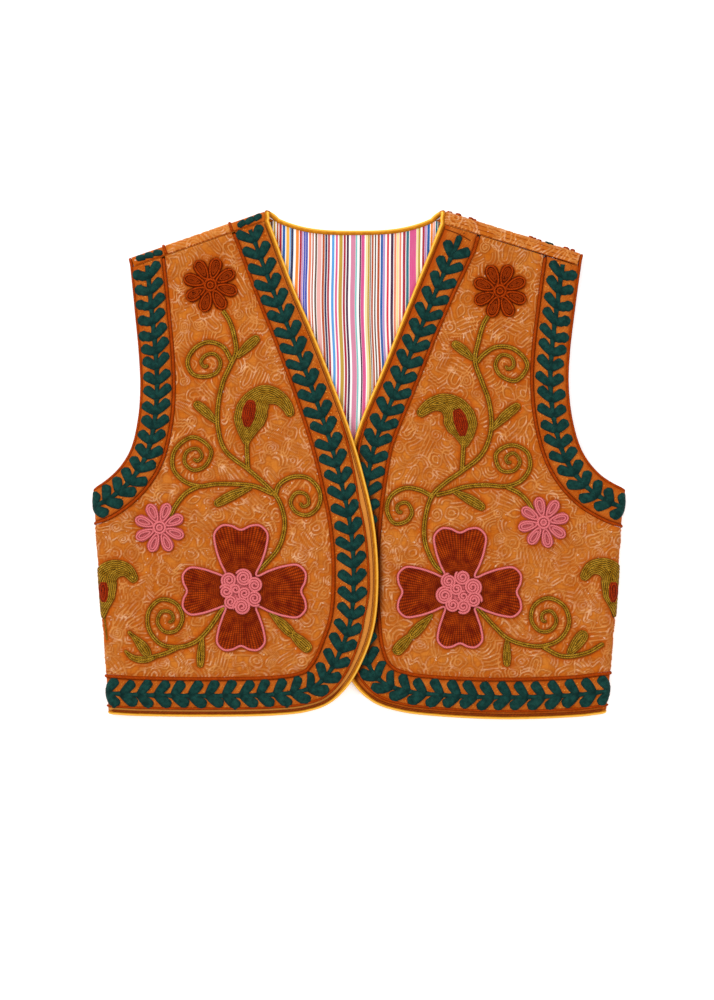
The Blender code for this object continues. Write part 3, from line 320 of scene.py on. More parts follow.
class Line:
    """A curve of pattern points, read by the length along it."""

    def __init__(self, points):
        self.points = np.array(points, float)
        steps = np.linalg.norm(np.diff(self.points, axis=0), axis=1)
        self.reach = np.concatenate([[0], np.cumsum(steps)])
        self.length = self.reach[-1]

    def at(self, s):
        s = np.asarray(s, float)
        return np.stack([np.interp(s, self.reach, self.points[:, k]) for k in (0, 1)], -1)

    def heading(self, s):
        """Unit steps the way the line runs, read 1.5 mm to either side."""
        s, reach = np.asarray(s, float), 1.5
        step = self.at(np.minimum(s + reach, self.length)) - self.at(np.maximum(s - reach, 0))
        return step / np.linalg.norm(step, axis=-1, keepdims=True)

    def beside(self, s, off):
        """Points a distance off to the left of the way the line runs."""
        way = self.heading(s)
        return self.at(s) + np.asarray(off)[..., None] * np.stack([-way[..., 1], way[..., 0]], -1)

    def offset(self, off):
        return Line(self.beside(self.reach, np.broadcast_to(off, self.reach.shape)))

    def part(self, start, end):
        """The stretch between two lengths along the line, in 400 points."""
        return Line(self.at(np.linspace(start, end, 400)))


def column(rows, name):
    return np.array([getattr(row, name) for row in rows], float)


def table_knots(rows, side):
    return np.stack([column(rows, side + "_out"), column(rows, side + "_up")], 1)


EDGE = {side: Line(smooth(table_knots(EDGE_ROWS, side))) for side in SIDES}
ARMHOLE = {side: Line(smooth(table_knots(ARMHOLE_ROWS, side))) for side in SIDES}
FOLD_CURVE = {
    side: smooth(np.stack([column(FOLD_ROWS, side), column(FOLD_ROWS, "up")], 1), 2.0)
    for side in SIDES
}


def band_width(side):
    """Width of the front band at each point of the edge."""
    edge = EDGE[side]
    knots = table_knots(EDGE_ROWS, side)
    where = [edge.reach[np.argmin(np.linalg.norm(edge.points - k, axis=1))] for k in knots]
    return np.interp(edge.reach, where, column(EDGE_ROWS, side + "_band"))


FRONT_SEAM = {side: EDGE[side].offset(band_width(side)) for side in SIDES}
ARMHOLE_SEAM = {side: ARMHOLE[side].offset(ARMHOLE_BAND[side]) for side in SIDES}
print("Length of each front's edge, in mm:", {s: round(EDGE[s].length) for s in SIDES})

# %% [markdown]
# ## How the cloth lies
# The fronts roll round a soft fold at the sides, rest on the back, and the wearer's right front rides
# up over the left one. `lay_front` takes flat pattern points and a height above the cloth, and gives
# the place on the table. Because embroidery is laid by the same function as the cloth, it always sits
# on it.


# %% Laying the pattern on the table
def fold_start(side, up):
    curve = FOLD_CURVE[side]
    return np.interp(up, curve[:, 1], curve[:, 0]) - FOLD_R


def shoulder_frame(side):
    neck, tip = np.array(NECK_POINT[side]), np.array(SHOULDER_TIP[side])
    along = (tip - neck) / np.linalg.norm(tip - neck)
    return neck, along, np.array([-along[1], along[0]])


def past_shoulder(side, out, up):
    neck, _, across = shoulder_frame(side)
    return (out - neck[0]) * across[0] + (up - neck[1]) * across[1]


def ridges(side, out, up):
    height = np.zeros(np.broadcast(out, up).shape)
    for r in RIDGES[side]:
        way = np.array([r.out1 - r.out0, r.up1 - r.up0])
        length = np.linalg.norm(way)
        way = way / length
        along = ((out - r.out0) * way[0] + (up - r.up0) * way[1]) / length
        across = (out - r.out0) * -way[1] + (up - r.up0) * way[0]
        fade = ease(along * 4 + 0.5) * ease((1 - along) * 4 + 0.5)
        height = height + r.rise * fade * np.exp(-((across / r.spread) ** 2))
    return height


OPENING_OUT, OPENING_UP = 110.0, 507.0  # a front's edge below and inside these is its open side
SHADOW_REACH = 5.0
LAP_TOP, LAP_FOOT = 300.0, 2.0  # the fronts lie on each other between these heights


def opening_at(side, up):
    """How far out the open side of a front lies at a height."""
    edge = EDGE[side].points
    edge = edge[(edge[:, 0] < OPENING_OUT) & (edge[:, 1] < OPENING_UP)]
    return np.interp(up, edge[::-1, 1], edge[::-1, 0])


def overlap(out, up):
    """How much the right front is lifted by the left one, from 0 to 1."""
    clear = opening_at("left", up) + out
    return 1 - ease((clear - 3) / LIFT_EASE)


def overlap_shade(side, out, up):
    """How deep the left front lies in the shadow of the right one's edge, from 0 to 1."""
    clear = out + opening_at("right", up)
    below = ease((LAP_TOP - up) / 20) * ease((up - LAP_FOOT) / 10)
    return (side == "left") * np.exp(-((np.maximum(clear, 0) / SHADOW_REACH) ** 2)) * below


def near_fold(side, out, up):
    at_side = 1 - ease((fold_start(side, up) - out) / FOLD_EASE)
    at_side = at_side * (1 - ease((up - UNDERARM_UP - 5) / FOLD_EASE))
    at_shoulder = 1 - ease((-past_shoulder(side, out, up) - FOLD_R - 6) / SHOULDER_EASE)
    return 1 - (1 - at_side) * (1 - at_shoulder)


def face_height(side, out, up):
    near = near_fold(side, out, up)
    height = FRONT_REST + (2 * FOLD_R - FRONT_REST) * near
    if side == "right":
        over = overlap(out, up)
        return height + OVERLAP_LIFT * over + ridges(side, out, up) * (1 - near) * (1 - over)
    hidden = 1 - ease((out - 30) / 30)  # under the right front, where it lies flat
    return height + ridges(side, out, up) * (1 - near) * (1 - hidden)


def lay_front(side, out, up, proud):
    out, up, proud = (np.asarray(v, float) for v in (out, up, proud))
    start = fold_start(side, up)
    turn = (out - start) / FOLD_R
    rolled = np.clip(turn, 0, math.pi)
    radius = FOLD_R + proud
    x = np.where(turn < 0, out, start + radius * np.sin(rolled))
    z = np.where(turn < 0, face_height(side, out, up) + proud, FOLD_R + radius * np.cos(rolled))
    under = np.maximum(turn - math.pi, 0) * FOLD_R
    return np.stack([SIGN[side] * (x - under), up + 0 * x, z], -1)


def to_frame(points):
    return (np.asarray(points, float) - np.array([PAGE_X, PAGE_Y, 0])) / 1000.0


def crossing(line, values):
    """Length along a line at which values, one for each of its points, first change sign."""
    k = int(np.argmax(np.sign(values) != np.sign(values[0])))
    share = values[k - 1] / (values[k - 1] - values[k])
    return line.reach[k - 1] + share * (line.reach[k] - line.reach[k - 1])


def seam_reach(line, side, drop):
    return crossing(line, past_shoulder(side, line.points[:, 0], line.points[:, 1]) + drop)


def rolled_reach(line, side, turn, beyond=0.0):
    limit = fold_start(side, line.points[:, 1]) + turn * FOLD_R + beyond
    return crossing(line, limit - line.points[:, 0])


def side_seam_reach(line, side):
    return rolled_reach(line, side, math.pi, UNDER_TURN)


# %% [markdown]
# ## Sewing grids together
# Almost every piece is one or more grids. `bmesh.ops.create_grid` makes a flat grid, and each of its
# points is then moved to its place on the table. `Sewing` collects grids in one mesh, with values at
# the points that the materials read, such as how near a stitch is. A grid that would come out facing
# down has its columns turned round first, so that every face points outwards.


# %% Sewing helper
class Sewing:
    def __init__(self, name, side="left"):
        self.name, self.side = name, side
        self.bm = bmesh.new()
        self.places, self.values = [], {}

    def patch(self, out, up, proud, lay=lay_front, **values):
        """Adds a grid of pattern points, laid on the table."""
        out, up = np.asarray(out, float), np.asarray(up, float)
        proud = np.broadcast_to(proud, out.shape)
        across = np.stack([np.diff(out, axis=1)[:-1], np.diff(up, axis=1)[:-1]], -1)
        along = np.stack([np.diff(out, axis=0)[:, :-1], np.diff(up, axis=0)[:, :-1]], -1)
        facing = across[..., 0] * along[..., 1] - across[..., 1] * along[..., 0]
        turn = slice(None, None, 1 if facing.sum() * SIGN[self.side] > 0 else -1)
        rows, columns = out.shape
        bmesh.ops.create_grid(self.bm, x_segments=columns - 1, y_segments=rows - 1, size=1)
        laid = lay(self.side, out[:, turn], up[:, turn], proud[:, turn])
        self.places.append(to_frame(laid).reshape(-1, 3))
        for key, value in values.items():
            value = np.broadcast_to(value, out.shape)[:, turn]
            self.values.setdefault(key, []).append(value.reshape(-1))

    def done(self, material, replaces=(), sharp=50.0, closed=True):
        """The finished piece, in place of its CAD solids. closed gives its grids a back."""
        mesh = bpy.data.meshes.new(self.name)
        self.bm.to_mesh(mesh)
        self.bm.free()
        mesh.vertices.foreach_set("co", np.concatenate(self.places).astype(np.float32).ravel())
        for key, value in self.values.items():
            made = mesh.attributes.new(key, "FLOAT", "POINT")
            made.data.foreach_set("value", np.concatenate(value).astype(np.float32))
        bm = bmesh.new()
        bm.from_mesh(mesh)
        bmesh.ops.remove_doubles(bm, verts=bm.verts[:], dist=2e-6)
        bmesh.ops.dissolve_degenerate(bm, edges=bm.edges[:], dist=1e-7)
        if closed:
            bmesh.ops.holes_fill(bm, edges=[edge for edge in bm.edges if edge.is_boundary], sides=0)
        bm.to_mesh(mesh)
        bm.free()
        return piece_of(self.name, mesh, material, replaces, sharp)


def piece_of(name, mesh, material, replaces, sharp):
    mesh.materials.append(material)
    mesh.shade_smooth()
    mesh.set_sharp_from_angle(angle=math.radians(sharp))
    made = bpy.data.objects.new(name, mesh)
    bpy.context.scene.collection.objects.link(made)
    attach(made, "root")
    if replaces:
        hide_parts(*replaces)
    print(f"{name}: {len(mesh.polygons)} faces")
    return made


def with_skirt(out, up, proud):
    """The same grid with a wall round its rim, down to the cloth's inner face."""
    low = np.full(np.array(out.shape) + 2, -CLOTH)
    low[1:-1, 1:-1] = proud
    return np.pad(out, 1, "edge"), np.pad(up, 1, "edge"), low


def flat_area(out, up):
    """Area of a grid of pattern points, in square metres."""
    a = np.stack([out[1:, 1:] - out[:-1, :-1], up[1:, 1:] - up[:-1, :-1]], -1)
    b = np.stack([out[1:, :-1] - out[:-1, 1:], up[1:, :-1] - up[:-1, 1:]], -1)
    return float(np.abs(a[..., 0] * b[..., 1] - a[..., 1] * b[..., 0]).sum() / 2) / 1e6


# %% [markdown]
# ## Where the motifs go
# The embroidery is described as a maker would chalk it on: flowers by their middle and reach, and
# stems, leaves, scrolls and paisleys as strokes with a width that changes along them.

# %% Motif tables
Flower = namedtuple("Flower", "side name out up reach half first")
FLOWERS = (
    Flower("right", "rust_flower", 146.5, 433, 28.0, 7.1, 15),
    Flower("right", "pink_flower", 197.4, 190.5, 26.0, 6.2, 20),
    Flower("left", "rust_flower", 143, 427, 28.0, 7.1, 24),
    Flower("left", "pink_flower", 186.5, 195.6, 26.0, 6.2, 12),
)
PETALS = 8
BigFlower = namedtuple("BigFlower", "out up reaches")
BIG_FLOWER = {
    "right": BigFlower(116.0, 127.0, (61.0, 69.0, 68.0, 62.0)),
    "left": BigFlower(103.0, 126.0, (64.0, 67.0, 65.0, 58.0)),
}
Stroke = namedtuple("Stroke", "shape knots")
SHAPES = {  # widths at equal shares of the length
    "stem": (4.6, 4.4),
    "scroll": (4.6, 4.4, 4.2, 3.9, 3.4),
    "leaf": (4.0, 7.5, 10.0, 9.8, 7.0),
    "low_leaf": (2.4, 6.5, 10.2, 10.6, 8.0),
    "low_lobe": (6.0, 9.0, 11.6, 11.8, 9.0),
    "side_paisley": (3.0, 11.0, 23.0, 27.0, 26.0, 21.0, 16.0, 12.0, 8.0),
    "side_thread": (1.4, 1.4),
    "broad_leaf": (6.5, 10.5, 10.5, 7.5, 4.5, 3.6),
    "round_leaf": (5.0, 9.5, 12.4, 12.4, 9.5),
    "tail": (4.4, 6.6, 7.2, 5.6, 2.6),
    "slim_leaf": (3.0, 7.0, 8.5, 6.0),
    "paisley": (4.0, 18.0, 31.0, 33.0, 27.0, 20.0, 15.0, 12.0, 8.0),
}
UPPER_STROKES = {
    "right": (
        Stroke("stem", ((134, 407), (128, 398), (123, 383), (121, 366), (127, 352), (134, 336),
                        (139, 312), (139, 290), (132, 268), (108, 248), (88, 230), (79, 219),
                        (74, 206), (72.4, 192), (78, 171), (90, 156), (99, 147))),
        Stroke("leaf", ((121, 360), (110, 371), (98, 382))),
        Stroke("scroll", ((125, 356), (134, 371), (149, 376), (163, 369), (169.5, 356), (164, 344),
                          (151, 341.5), (140, 346), (136.5, 356), (142.5, 364), (151, 363), (156, 356.5),
                          (152.5, 351), (148.5, 353.5))),
        Stroke("leaf", ((140, 295), (151, 306), (163, 316))),
        Stroke("stem", ((109, 248), (110, 264), (110, 280))),
        Stroke("paisley", ((111, 273), (110, 287), (107, 301), (101, 315), (91, 323), (78, 320),
                           (69, 310), (66, 301))),
        Stroke("scroll", ((82, 222), (78, 233), (65, 241), (49, 240), (37.5, 227), (38.5, 212),
                          (49, 203), (61, 206), (66.5, 216), (60, 225.5), (50.5, 223), (48.5, 214),
                          (54.5, 211.5), (56.5, 216))),
        Stroke("scroll", ((84, 224), (103, 232), (124, 234), (142, 234), (158, 232), (173, 237),
                          (184, 250), (182, 268), (164, 281), (146, 268), (152, 252), (164, 248),
                          (172.5, 256), (170, 266.5), (160, 269.5), (155, 262), (160, 257), (164, 260))),
        Stroke("leaf", ((105, 231), (124, 223), (143, 213))),
        Stroke("stem", ((158, 232), (171, 225), (181, 213), (187, 201))),
    ),
    "left": (
        Stroke("stem", ((131, 402), (126, 393), (121, 375), (118, 357), (125, 336), (132, 316),
                        (134, 288), (125, 264), (105, 247), (88, 235), (75, 222), (68, 198),
                        (68, 176), (78, 153), (87, 145))),
        Stroke("leaf", ((117, 358), (106, 368), (95, 376))),
        Stroke("scroll", ((120, 356), (126, 363), (139, 371), (157, 369), (170.5, 353), (159, 337.5),
                          (143, 343), (138.5, 354), (144.5, 363), (154.5, 360.5), (156.5, 352),
                          (150.5, 349), (148.5, 353))),
        Stroke("leaf", ((134, 288), (148, 302), (163, 314))),
        Stroke("stem", ((105, 248), (106, 264), (107, 280))),
        Stroke("paisley", ((108, 270), (107, 285), (103, 298), (97, 309), (87, 315), (76, 314),
                           (67, 308), (61, 302))),
        Stroke("scroll", ((76, 221), (63, 228), (48, 230), (34, 222), (30, 208), (37, 195),
                          (49, 196.5), (55, 205.5), (49.5, 215.5), (40.5, 212.5), (41, 206),
                          (46, 206.5))),
        Stroke("scroll", ((79, 223), (92, 226), (107, 231), (128, 233), (150, 232), (165, 238),
                          (173, 251), (170, 266), (154, 273), (139, 264), (144, 248), (157, 247.5),
                          (163, 256.5), (156.5, 265), (149, 260.5), (151, 255), (154.5, 257))),
        Stroke("leaf", ((96, 227), (112, 219), (128, 209))),
        Stroke("stem", ((150, 231), (162, 225), (171, 216), (176, 207))),
    ),
}
LOWER_STROKES = {
    "right": (
        Stroke("scroll", ((132, 113), (150, 87), (162, 76), (178, 71), (196, 74), (208, 89),
                          (208, 107), (196, 118.5), (180.5, 114), (174.5, 100), (181, 87.5),
                          (192.5, 86.5), (199.5, 96), (195, 106.5), (186, 105.5), (184, 98),
                          (189, 95.5))),
        Stroke("stem", ((178, 71), (192, 64.5), (204, 61))),
        Stroke("tail", ((200, 62), (212, 58.5), (224, 60.5), (232.5, 68))),
        Stroke("broad_leaf", ((207.5, 61), (214, 71), (221, 79), (229, 87))),
        Stroke("slim_leaf", ((154.5, 82), (156, 66), (157, 50))),
    ),
    "left": (
        Stroke("scroll", ((119, 112), (138, 91), (150, 80), (165, 74), (185, 72), (203, 79),
                          (212, 95), (207, 112), (191, 120), (177, 112), (174.5, 97.5), (183, 87),
                          (194, 88), (199.5, 97.5), (194, 107), (185.5, 104.5), (185.5, 97.5),
                          (190, 96.5))),
        Stroke("stem", ((186, 71), (205, 62), (229, 65), (247, 75))),
        Stroke("round_leaf", ((211, 63), (220, 75), (229, 87))),
        Stroke("slim_leaf", ((150, 80), (150, 65), (150, 51))),
    ),
}
LOW_LEAF = {
    "right": (
        Stroke("low_leaf", ((88, 106), (76, 95), (63, 82))),
        Stroke("low_lobe", ((67, 86), (57, 77), (46, 67))),
    ),
    "left": (
        Stroke("low_leaf", ((76, 104), (65, 93), (52, 80))),
        Stroke("low_lobe", ((56, 84), (47, 75), (37, 64))),
    ),
}
SIDE_PAISLEY = {  # measured from the start of the side fold
    "right": ((5, 99), (4, 108), (3, 120), (2, 133), (-2, 143), (-11, 149), (-22, 148), (-31, 136)),
    "left": ((6, 100), (5, 109), (4, 122), (3, 135), (-1, 145), (-10, 151), (-21, 150), (-30, 138)),
}
SIDE_THREAD = ((3.5, 103), (3.0, 92), (2.5, 78))  # on the wearer's right only
PetalRow = namedtuple("PetalRow", "angle share")
PETAL_ROWS = (
    PetalRow(0, 0.90),
    PetalRow(8, 0.965),
    PetalRow(16, 1.0),
    PetalRow(25, 0.93),
    PetalRow(31, 0.73),
    PetalRow(37, 0.51),
    PetalRow(45, 0.35),
)


def from_fold(side, shape, knots):
    """A stroke whose knots are measured from the start of the side fold."""
    knots = np.array(knots, float)
    knots[:, 0] += fold_start(side, knots[:, 1])
    return Stroke(shape, knots)


def side_strokes(side):
    found = [from_fold(side, "side_paisley", SIDE_PAISLEY[side])]
    return found + [from_fold(side, "side_thread", SIDE_THREAD)] * (side == "right")


def petal_axis(flower, k):
    turn = math.radians(flower.first + k * 360 / PETALS)
    return np.array([math.cos(turn), math.sin(turn)])


def petal_stroke(flower, k):
    """Knots along one petal of a small flower, and its widths."""
    middle = np.array([flower.out, flower.up])
    knots = np.stack([middle + petal_axis(flower, k) * r for r in (4.0, 13.0, flower.reach - 0.6)])
    return knots, flower.half * np.array((0.8, 1.35, 1.85, 2.0, 1.75))


def petal_reach(flower, turn):
    """Reach of the big flower's outline at angles from its outer petal's axis, in radians."""
    angle = np.degrees(turn) % 360
    petal = np.round(angle / 90).astype(int) % 4
    off = np.abs((angle + 45) % 90 - 45)
    share = np.interp(off, column(PETAL_ROWS, "angle"), column(PETAL_ROWS, "share"))
    return share * np.array(flower.reaches)[petal]


# %% [markdown]
# A stroke becomes a raised band of thread. It has rounded ends, edges that roll down to the cloth,
# and, where the embroiderer laid thread in rows that follow the outline, a groove between each row
# and the next. One function makes all of them, from vine leaves to paisleys, because it works with
# the distance from the stroke's nearest edge.


# %% Raised strokes
def stroke_grid(knots, widths, step, columns, start_round=0.5, end_round=1.0):
    """Points of a stroke, with the distance from its edge and the length along it."""
    spine = Line(smooth(knots, 0.6))
    s = np.linspace(0, spine.length, max(4, round(spine.length / step)) + 1)
    share = np.linspace(0, 1, len(widths))
    half = np.interp(s / spine.length, share, widths) / 2
    for rim, roundness, away in ((half[0], start_round, s), (half[-1], end_round, s[::-1])):
        if roundness:
            t = np.clip(away / (rim * roundness), 0, 1)
            half = half * np.sqrt(np.maximum(1 - (1 - t) ** 2, 0.0))
    v = np.sin(np.linspace(-math.pi / 2, math.pi / 2, columns))
    points = spine.beside(s[:, None] + 0 * v, half[:, None] * v)
    edge = half[:, None] * (1 - np.abs(v))
    ends = np.minimum(s, s[::-1])[:, None] + 0 * v if start_round else s[::-1][:, None] + 0 * v
    return points, np.minimum(edge, ends), s[:, None] + 0 * v, half[:, None] * v


def raised(edge, height, roll, row=0.0, groove=0.0):
    """Height over the cloth at a distance from the edge: a rolled edge, then rows of thread."""
    t = np.clip(edge / roll, 0, 1)
    dome = height * np.sqrt(np.maximum(1 - (1 - t) ** 2, 0))
    if row:
        dome = dome - groove * (0.5 + 0.5 * np.cos(2 * math.pi * edge / row)) * np.clip(edge, 0, 1)
    return dome


# %% [markdown]
# ## Quilted ground
# The field is padded cotton, closely quilted with wandering lines: coils, rings, zigzags, arcs and
# ladders, each about as big as a fingertip. Cloth simulation would not give such an even relief, and a
# bump texture would vanish in a side view, so the lines are drawn as small figures on a jittered
# lattice, and the cloth is raised along them. The same distance gives the material its pale thread
# and the painted shade in the hollow beside it.


# %% Figures of the quilting
def oval(wide, tall, t):
    """A rounded oblong about the origin."""
    turn = 2 * math.pi * t
    c, s = np.cos(turn), np.sin(turn)
    return np.stack([wide * np.sign(c) * np.abs(c) ** 0.7, tall * np.sign(s) * np.abs(s) ** 0.7], 1)


def figure_points(kind, size, rng):
    """Lines of one small figure about the origin."""
    t = np.linspace(0, 1, 90)
    run = 2 * t - 1
    if kind == "coil":
        turn = 2 * math.pi * 2.1 * t
        reach = size * (1 - 0.85 * t)
        tail = np.stack([size * (1 + 0.9 * t), -size * 1.1 * t**1.5], 1)
        return [np.stack([reach * np.cos(turn), reach * np.sin(turn)], 1), tail]
    if kind == "ring":
        return [oval(size, size, t), oval(size * 0.45, size * 0.4, t)]
    if kind == "loops":
        return [oval(size * 1.75, size * 0.72, t), oval(size * 1.25, size * 0.3, t)]
    if kind == "nest":
        return [oval(size * k, size * k * 0.8, t) for k in (1.15, 0.72, 0.3)]
    if kind == "lines":
        lean = rng.uniform(-0.3, 0.3)
        rows = (-0.9, -0.3, 0.3, 0.9)
        return [np.stack([run * size * 1.5, size * (k + lean * run)], 1) for k in rows]
    if kind == "chevrons":
        rows = (0.1, 0.75, 1.4)
        return [np.stack([run * size * 1.2, size * (k - 1.1 * np.abs(run))], 1) for k in rows]
    if kind == "hook":
        turn = math.pi * t
        arch = np.stack([np.cos(turn), np.sin(turn)], 1)
        legs = np.stack([0 * t, -1.7 * t], 1)
        found = []
        for k in (0.45, 1.0):
            found += [arch * size * k, legs * size + (size * k, 0), legs * size - (size * k, 0)]
        return found
    if kind == "waves":
        bend = size * 0.5 * np.sin(3.4 * math.pi * t)
        return [np.stack([run * size * 1.9, bend + size * k], 1) for k in (-0.45, 0.2)]
    if kind == "arcs":
        turn = math.pi * (0.15 + 0.7 * t)
        arc = np.stack([np.cos(turn), np.sin(turn)], 1)
        return [arc * size * k - (0, size * 0.9) for k in (0.9, 1.45, 2.0)]
    bow = size * 0.62 * np.sin(math.pi * t)
    return [np.stack([run * size * 1.3, bow], 1), np.stack([run * size * 1.3, -bow], 1)]


KINDS = ("coil", "ring", "loops", "nest", "lines", "chevrons", "hook", "waves", "arcs", "petal")
FIGURE_PITCH = 15.4
FIGURE_SIZE = 6.6


def search_tree(points):
    """A tree that finds the nearest of many pattern points."""
    tree = kdtree.KDTree(len(points))
    for k, (out, up) in enumerate(points):
        tree.insert((out, up, 0), k)
    tree.balance()
    return tree


def quilt_tree(side):
    """A search tree of points on all the quilting lines of a front."""
    rng = np.random.default_rng(11 if side == "right" else 23)
    lines = []
    for j, up in enumerate(np.arange(30, 545, FIGURE_PITCH * 0.87)):
        for out in np.arange(-5, 300, FIGURE_PITCH):
            at = (out + (j % 2) * FIGURE_PITCH / 2, up) + rng.uniform(-2.0, 2.0, 2)
            turn = rng.uniform(0, 2 * math.pi)
            spin = np.array([[math.cos(turn), math.sin(turn)], [-math.sin(turn), math.cos(turn)]])
            kind = KINDS[rng.integers(len(KINDS))]
            for line in figure_points(kind, FIGURE_SIZE * rng.uniform(0.78, 1.12), rng):
                lines.append(line @ spin + at)
    return search_tree(np.vstack(lines))


def hand(out, up):
    """Where a wandering hand puts the point, a little off the drawn figure."""
    sway = 0.8 * np.sin(up / 5.9 + 1.4 * np.sin(out / 8.3)) + 0.35 * np.sin((out - up) / 3.1)
    lift = 0.8 * np.sin(out / 6.3 + 1.4 * np.sin(up / 9.1)) + 0.35 * np.sin((out + up) / 3.7)
    return out + sway, up + lift


def distances(tree, out, up):
    flat = zip(out.ravel().tolist(), up.ravel().tolist(), strict=True)
    return np.array([tree.find((x, y, 0))[2] for x, y in flat]).reshape(out.shape)


def motif_tree(side):
    """A search tree of points all over the embroidered motifs of a front."""
    found = []
    for stroke in (*UPPER_STROKES[side], *LOWER_STROKES[side], *LOW_LEAF[side], *side_strokes(side)):
        points, _, _, _ = stroke_grid(stroke.knots, SHAPES[stroke.shape], 1.5, 11)
        found.append(points.reshape(-1, 2))
    for f in FLOWERS:
        if f.side == side:
            for k in range(PETALS):
                points, _, _, _ = stroke_grid(*petal_stroke(f, k), 1.5, 7, 0.0, 0.8)
                found.append(points.reshape(-1, 2))
    big = BIG_FLOWER[side]
    turn = np.linspace(0, 2 * math.pi, 240)
    for share in np.arange(0.1, 1.01, 0.06):
        reach = share * petal_reach(big, turn)
        found.append(np.stack([big.out + reach * np.cos(turn), big.up + reach * np.sin(turn)], 1))
    return search_tree(np.vstack(found))


# %% [markdown]
# The deep orange halo round every motif, partly deeper dye and partly painted shade, comes from a
# second search tree, of points all over the embroidery. Both distances are worked out once for each
# point of the cloth, and kept on the mesh.

# %% Colour and relief of the quilted cloth
LINE_HALF = 0.56  # half the width of a quilting line
LINE_RISE = 0.95
PUFF = 0.75
PUFF_PITCH = 23.0


def quilt_puff(out, up):
    """Height of the soft puffs between the wider rows of quilting."""
    wave = 2 * math.pi / PUFF_PITCH
    drift = 0.9 * np.sin(up * wave * 0.31)
    rows = np.sin(out * wave + drift) * np.sin(up * wave + 0.8 * np.sin(out * wave * 0.37))
    return PUFF * (0.5 + 0.5 * rows)


field, tree, shader = cloth_material("quilted_orange_cotton", 0.72, 0.03)
# Padded cotton: a dull surface with a soft sheen, paler in uneven patches where the dye has worn.
place = node(tree, "TexCoord", out="Object")
halo, ditch, on_line, contact = (
    node(tree, "Attribute", out="Fac", attribute_name=name)
    for name in ("halo", "ditch", "line", "contact")
)
patches = blotches(tree, place, 30.0, 4.0, 0.5, 0.40, 0.62)
tone = node(tree, "Mix", {0: patches, 6: colour("#BA5E0A"), 7: colour("#C87220")}, **COLOURS)
tone = tinted(tree, tone, blotches(tree, place, 9.0, 4.0, 0.65, 0.36, 0.66), "#C87E38", 0.45)
# The halo round motifs and seams is partly a deeper dye and partly painted shade.
halo = node(tree, "Math", {0: halo, 1: 0.85}, operation="MULTIPLY")
tone = tinted(tree, tone, halo, "#BC5204")
# Painted shade in the hollow beside each quilting line.
tone = tinted(tree, tone, ditch, "#9A440A")

# Thin creases are noise that is drawn out along the cloth or across it, 0 in the crease. They go into
# the relief, and the creases are also painted darker as shade.
creases = []
for stretch in ((1, 0.22, 1), (0.3, 1, 1)):
    drawn = node(tree, "Mapping", {"Vector": place, "Scale": stretch})
    crease = node(tree, "TexNoise", {"Vector": drawn, "Scale": METRE / 9})
    crease = node(tree, "Math", {0: crease, 1: 0.5}, operation="SUBTRACT")
    crease = node(tree, "Math", {0: crease}, operation="ABSOLUTE")
    creases.append(node(tree, "MapRange", {0: crease, 1: 0.0, 2: 0.035}))
folds = node(tree, "Math", {0: creases[0], 1: creases[1]}, operation="MULTIPLY")
tone = tinted_between(tree, tone, folds, "#8E3C06", 0.30)

# The quilting thread is pale, its palest stretches partly rubbed and partly painted highlight, and here
# and there a painted glint shows.
rubbed_and_highlit = blotches(tree, place, 8.0, 2.0, 0.5, 0.50, 0.62)
rubbed_and_highlit = node(tree, "Mix", {0: rubbed_and_highlit, 6: colour("#D8924E"), 7: colour("#EDB88A")}, **COLOURS)
tone = node(tree, "Mix", {0: on_line, 6: tone, 7: rubbed_and_highlit}, **COLOURS)
tone = tinted(tree, tone, blotches(tree, place, 3.4, 1.0, 0.5, 0.73, 0.78), "#F4DCC0", 0.5)
# Painted contact shadow round the motifs, and the painted shadow of the right front's edge.
tone = tinted(tree, tone, contact, "#5E2604")
grain = node(tree, "TexNoise", {"Vector": place, "Scale": METRE / 1.1, "Roughness": 0.7})
threads = node(tree, "MapRange", {0: grain, 1: 0.3, 2: 0.7})
tone = tinted_between(tree, tone, threads, "#5A2606", 0.16)
crumple = node(tree, "TexNoise", {"Vector": place, "Scale": METRE / 8, "Detail": 3.0})
crumple = node(tree, "Math", {0: crumple, 1: 5.0, 2: grain}, operation="MULTIPLY_ADD")
crumple = node(tree, "Math", {0: crumple, 1: folds}, operation="ADD")
finish_cloth(tree, shader, tone, crumple, 0.35, 0.40)


def coons(bottom, top, first, last, across, rise):
    """Grid of pattern points inside four lines. across and rise are shares from 0 to 1."""
    across, rise = np.array(across)[None, :, None], np.array(rise)[:, None, None]
    low = bottom.at(across[0, :, 0] * bottom.length)[None]
    high = top.at(across[0, :, 0] * top.length)[None]
    begin = first.at(rise[:, 0, 0] * first.length)[:, None]
    end = last.at(rise[:, 0, 0] * last.length)[:, None]
    ruled = (1 - rise) * low + rise * high + (1 - across) * begin + across * end
    near = (1 - across) * low[:, :1] + across * low[:, -1:]
    far = (1 - across) * high[:, :1] + across * high[:, -1:]
    return ruled - (1 - rise) * near - rise * far


CELL = 1.08  # size of the cloth's faces
GAP = 0.3  # between the two sides of a shoulder seam


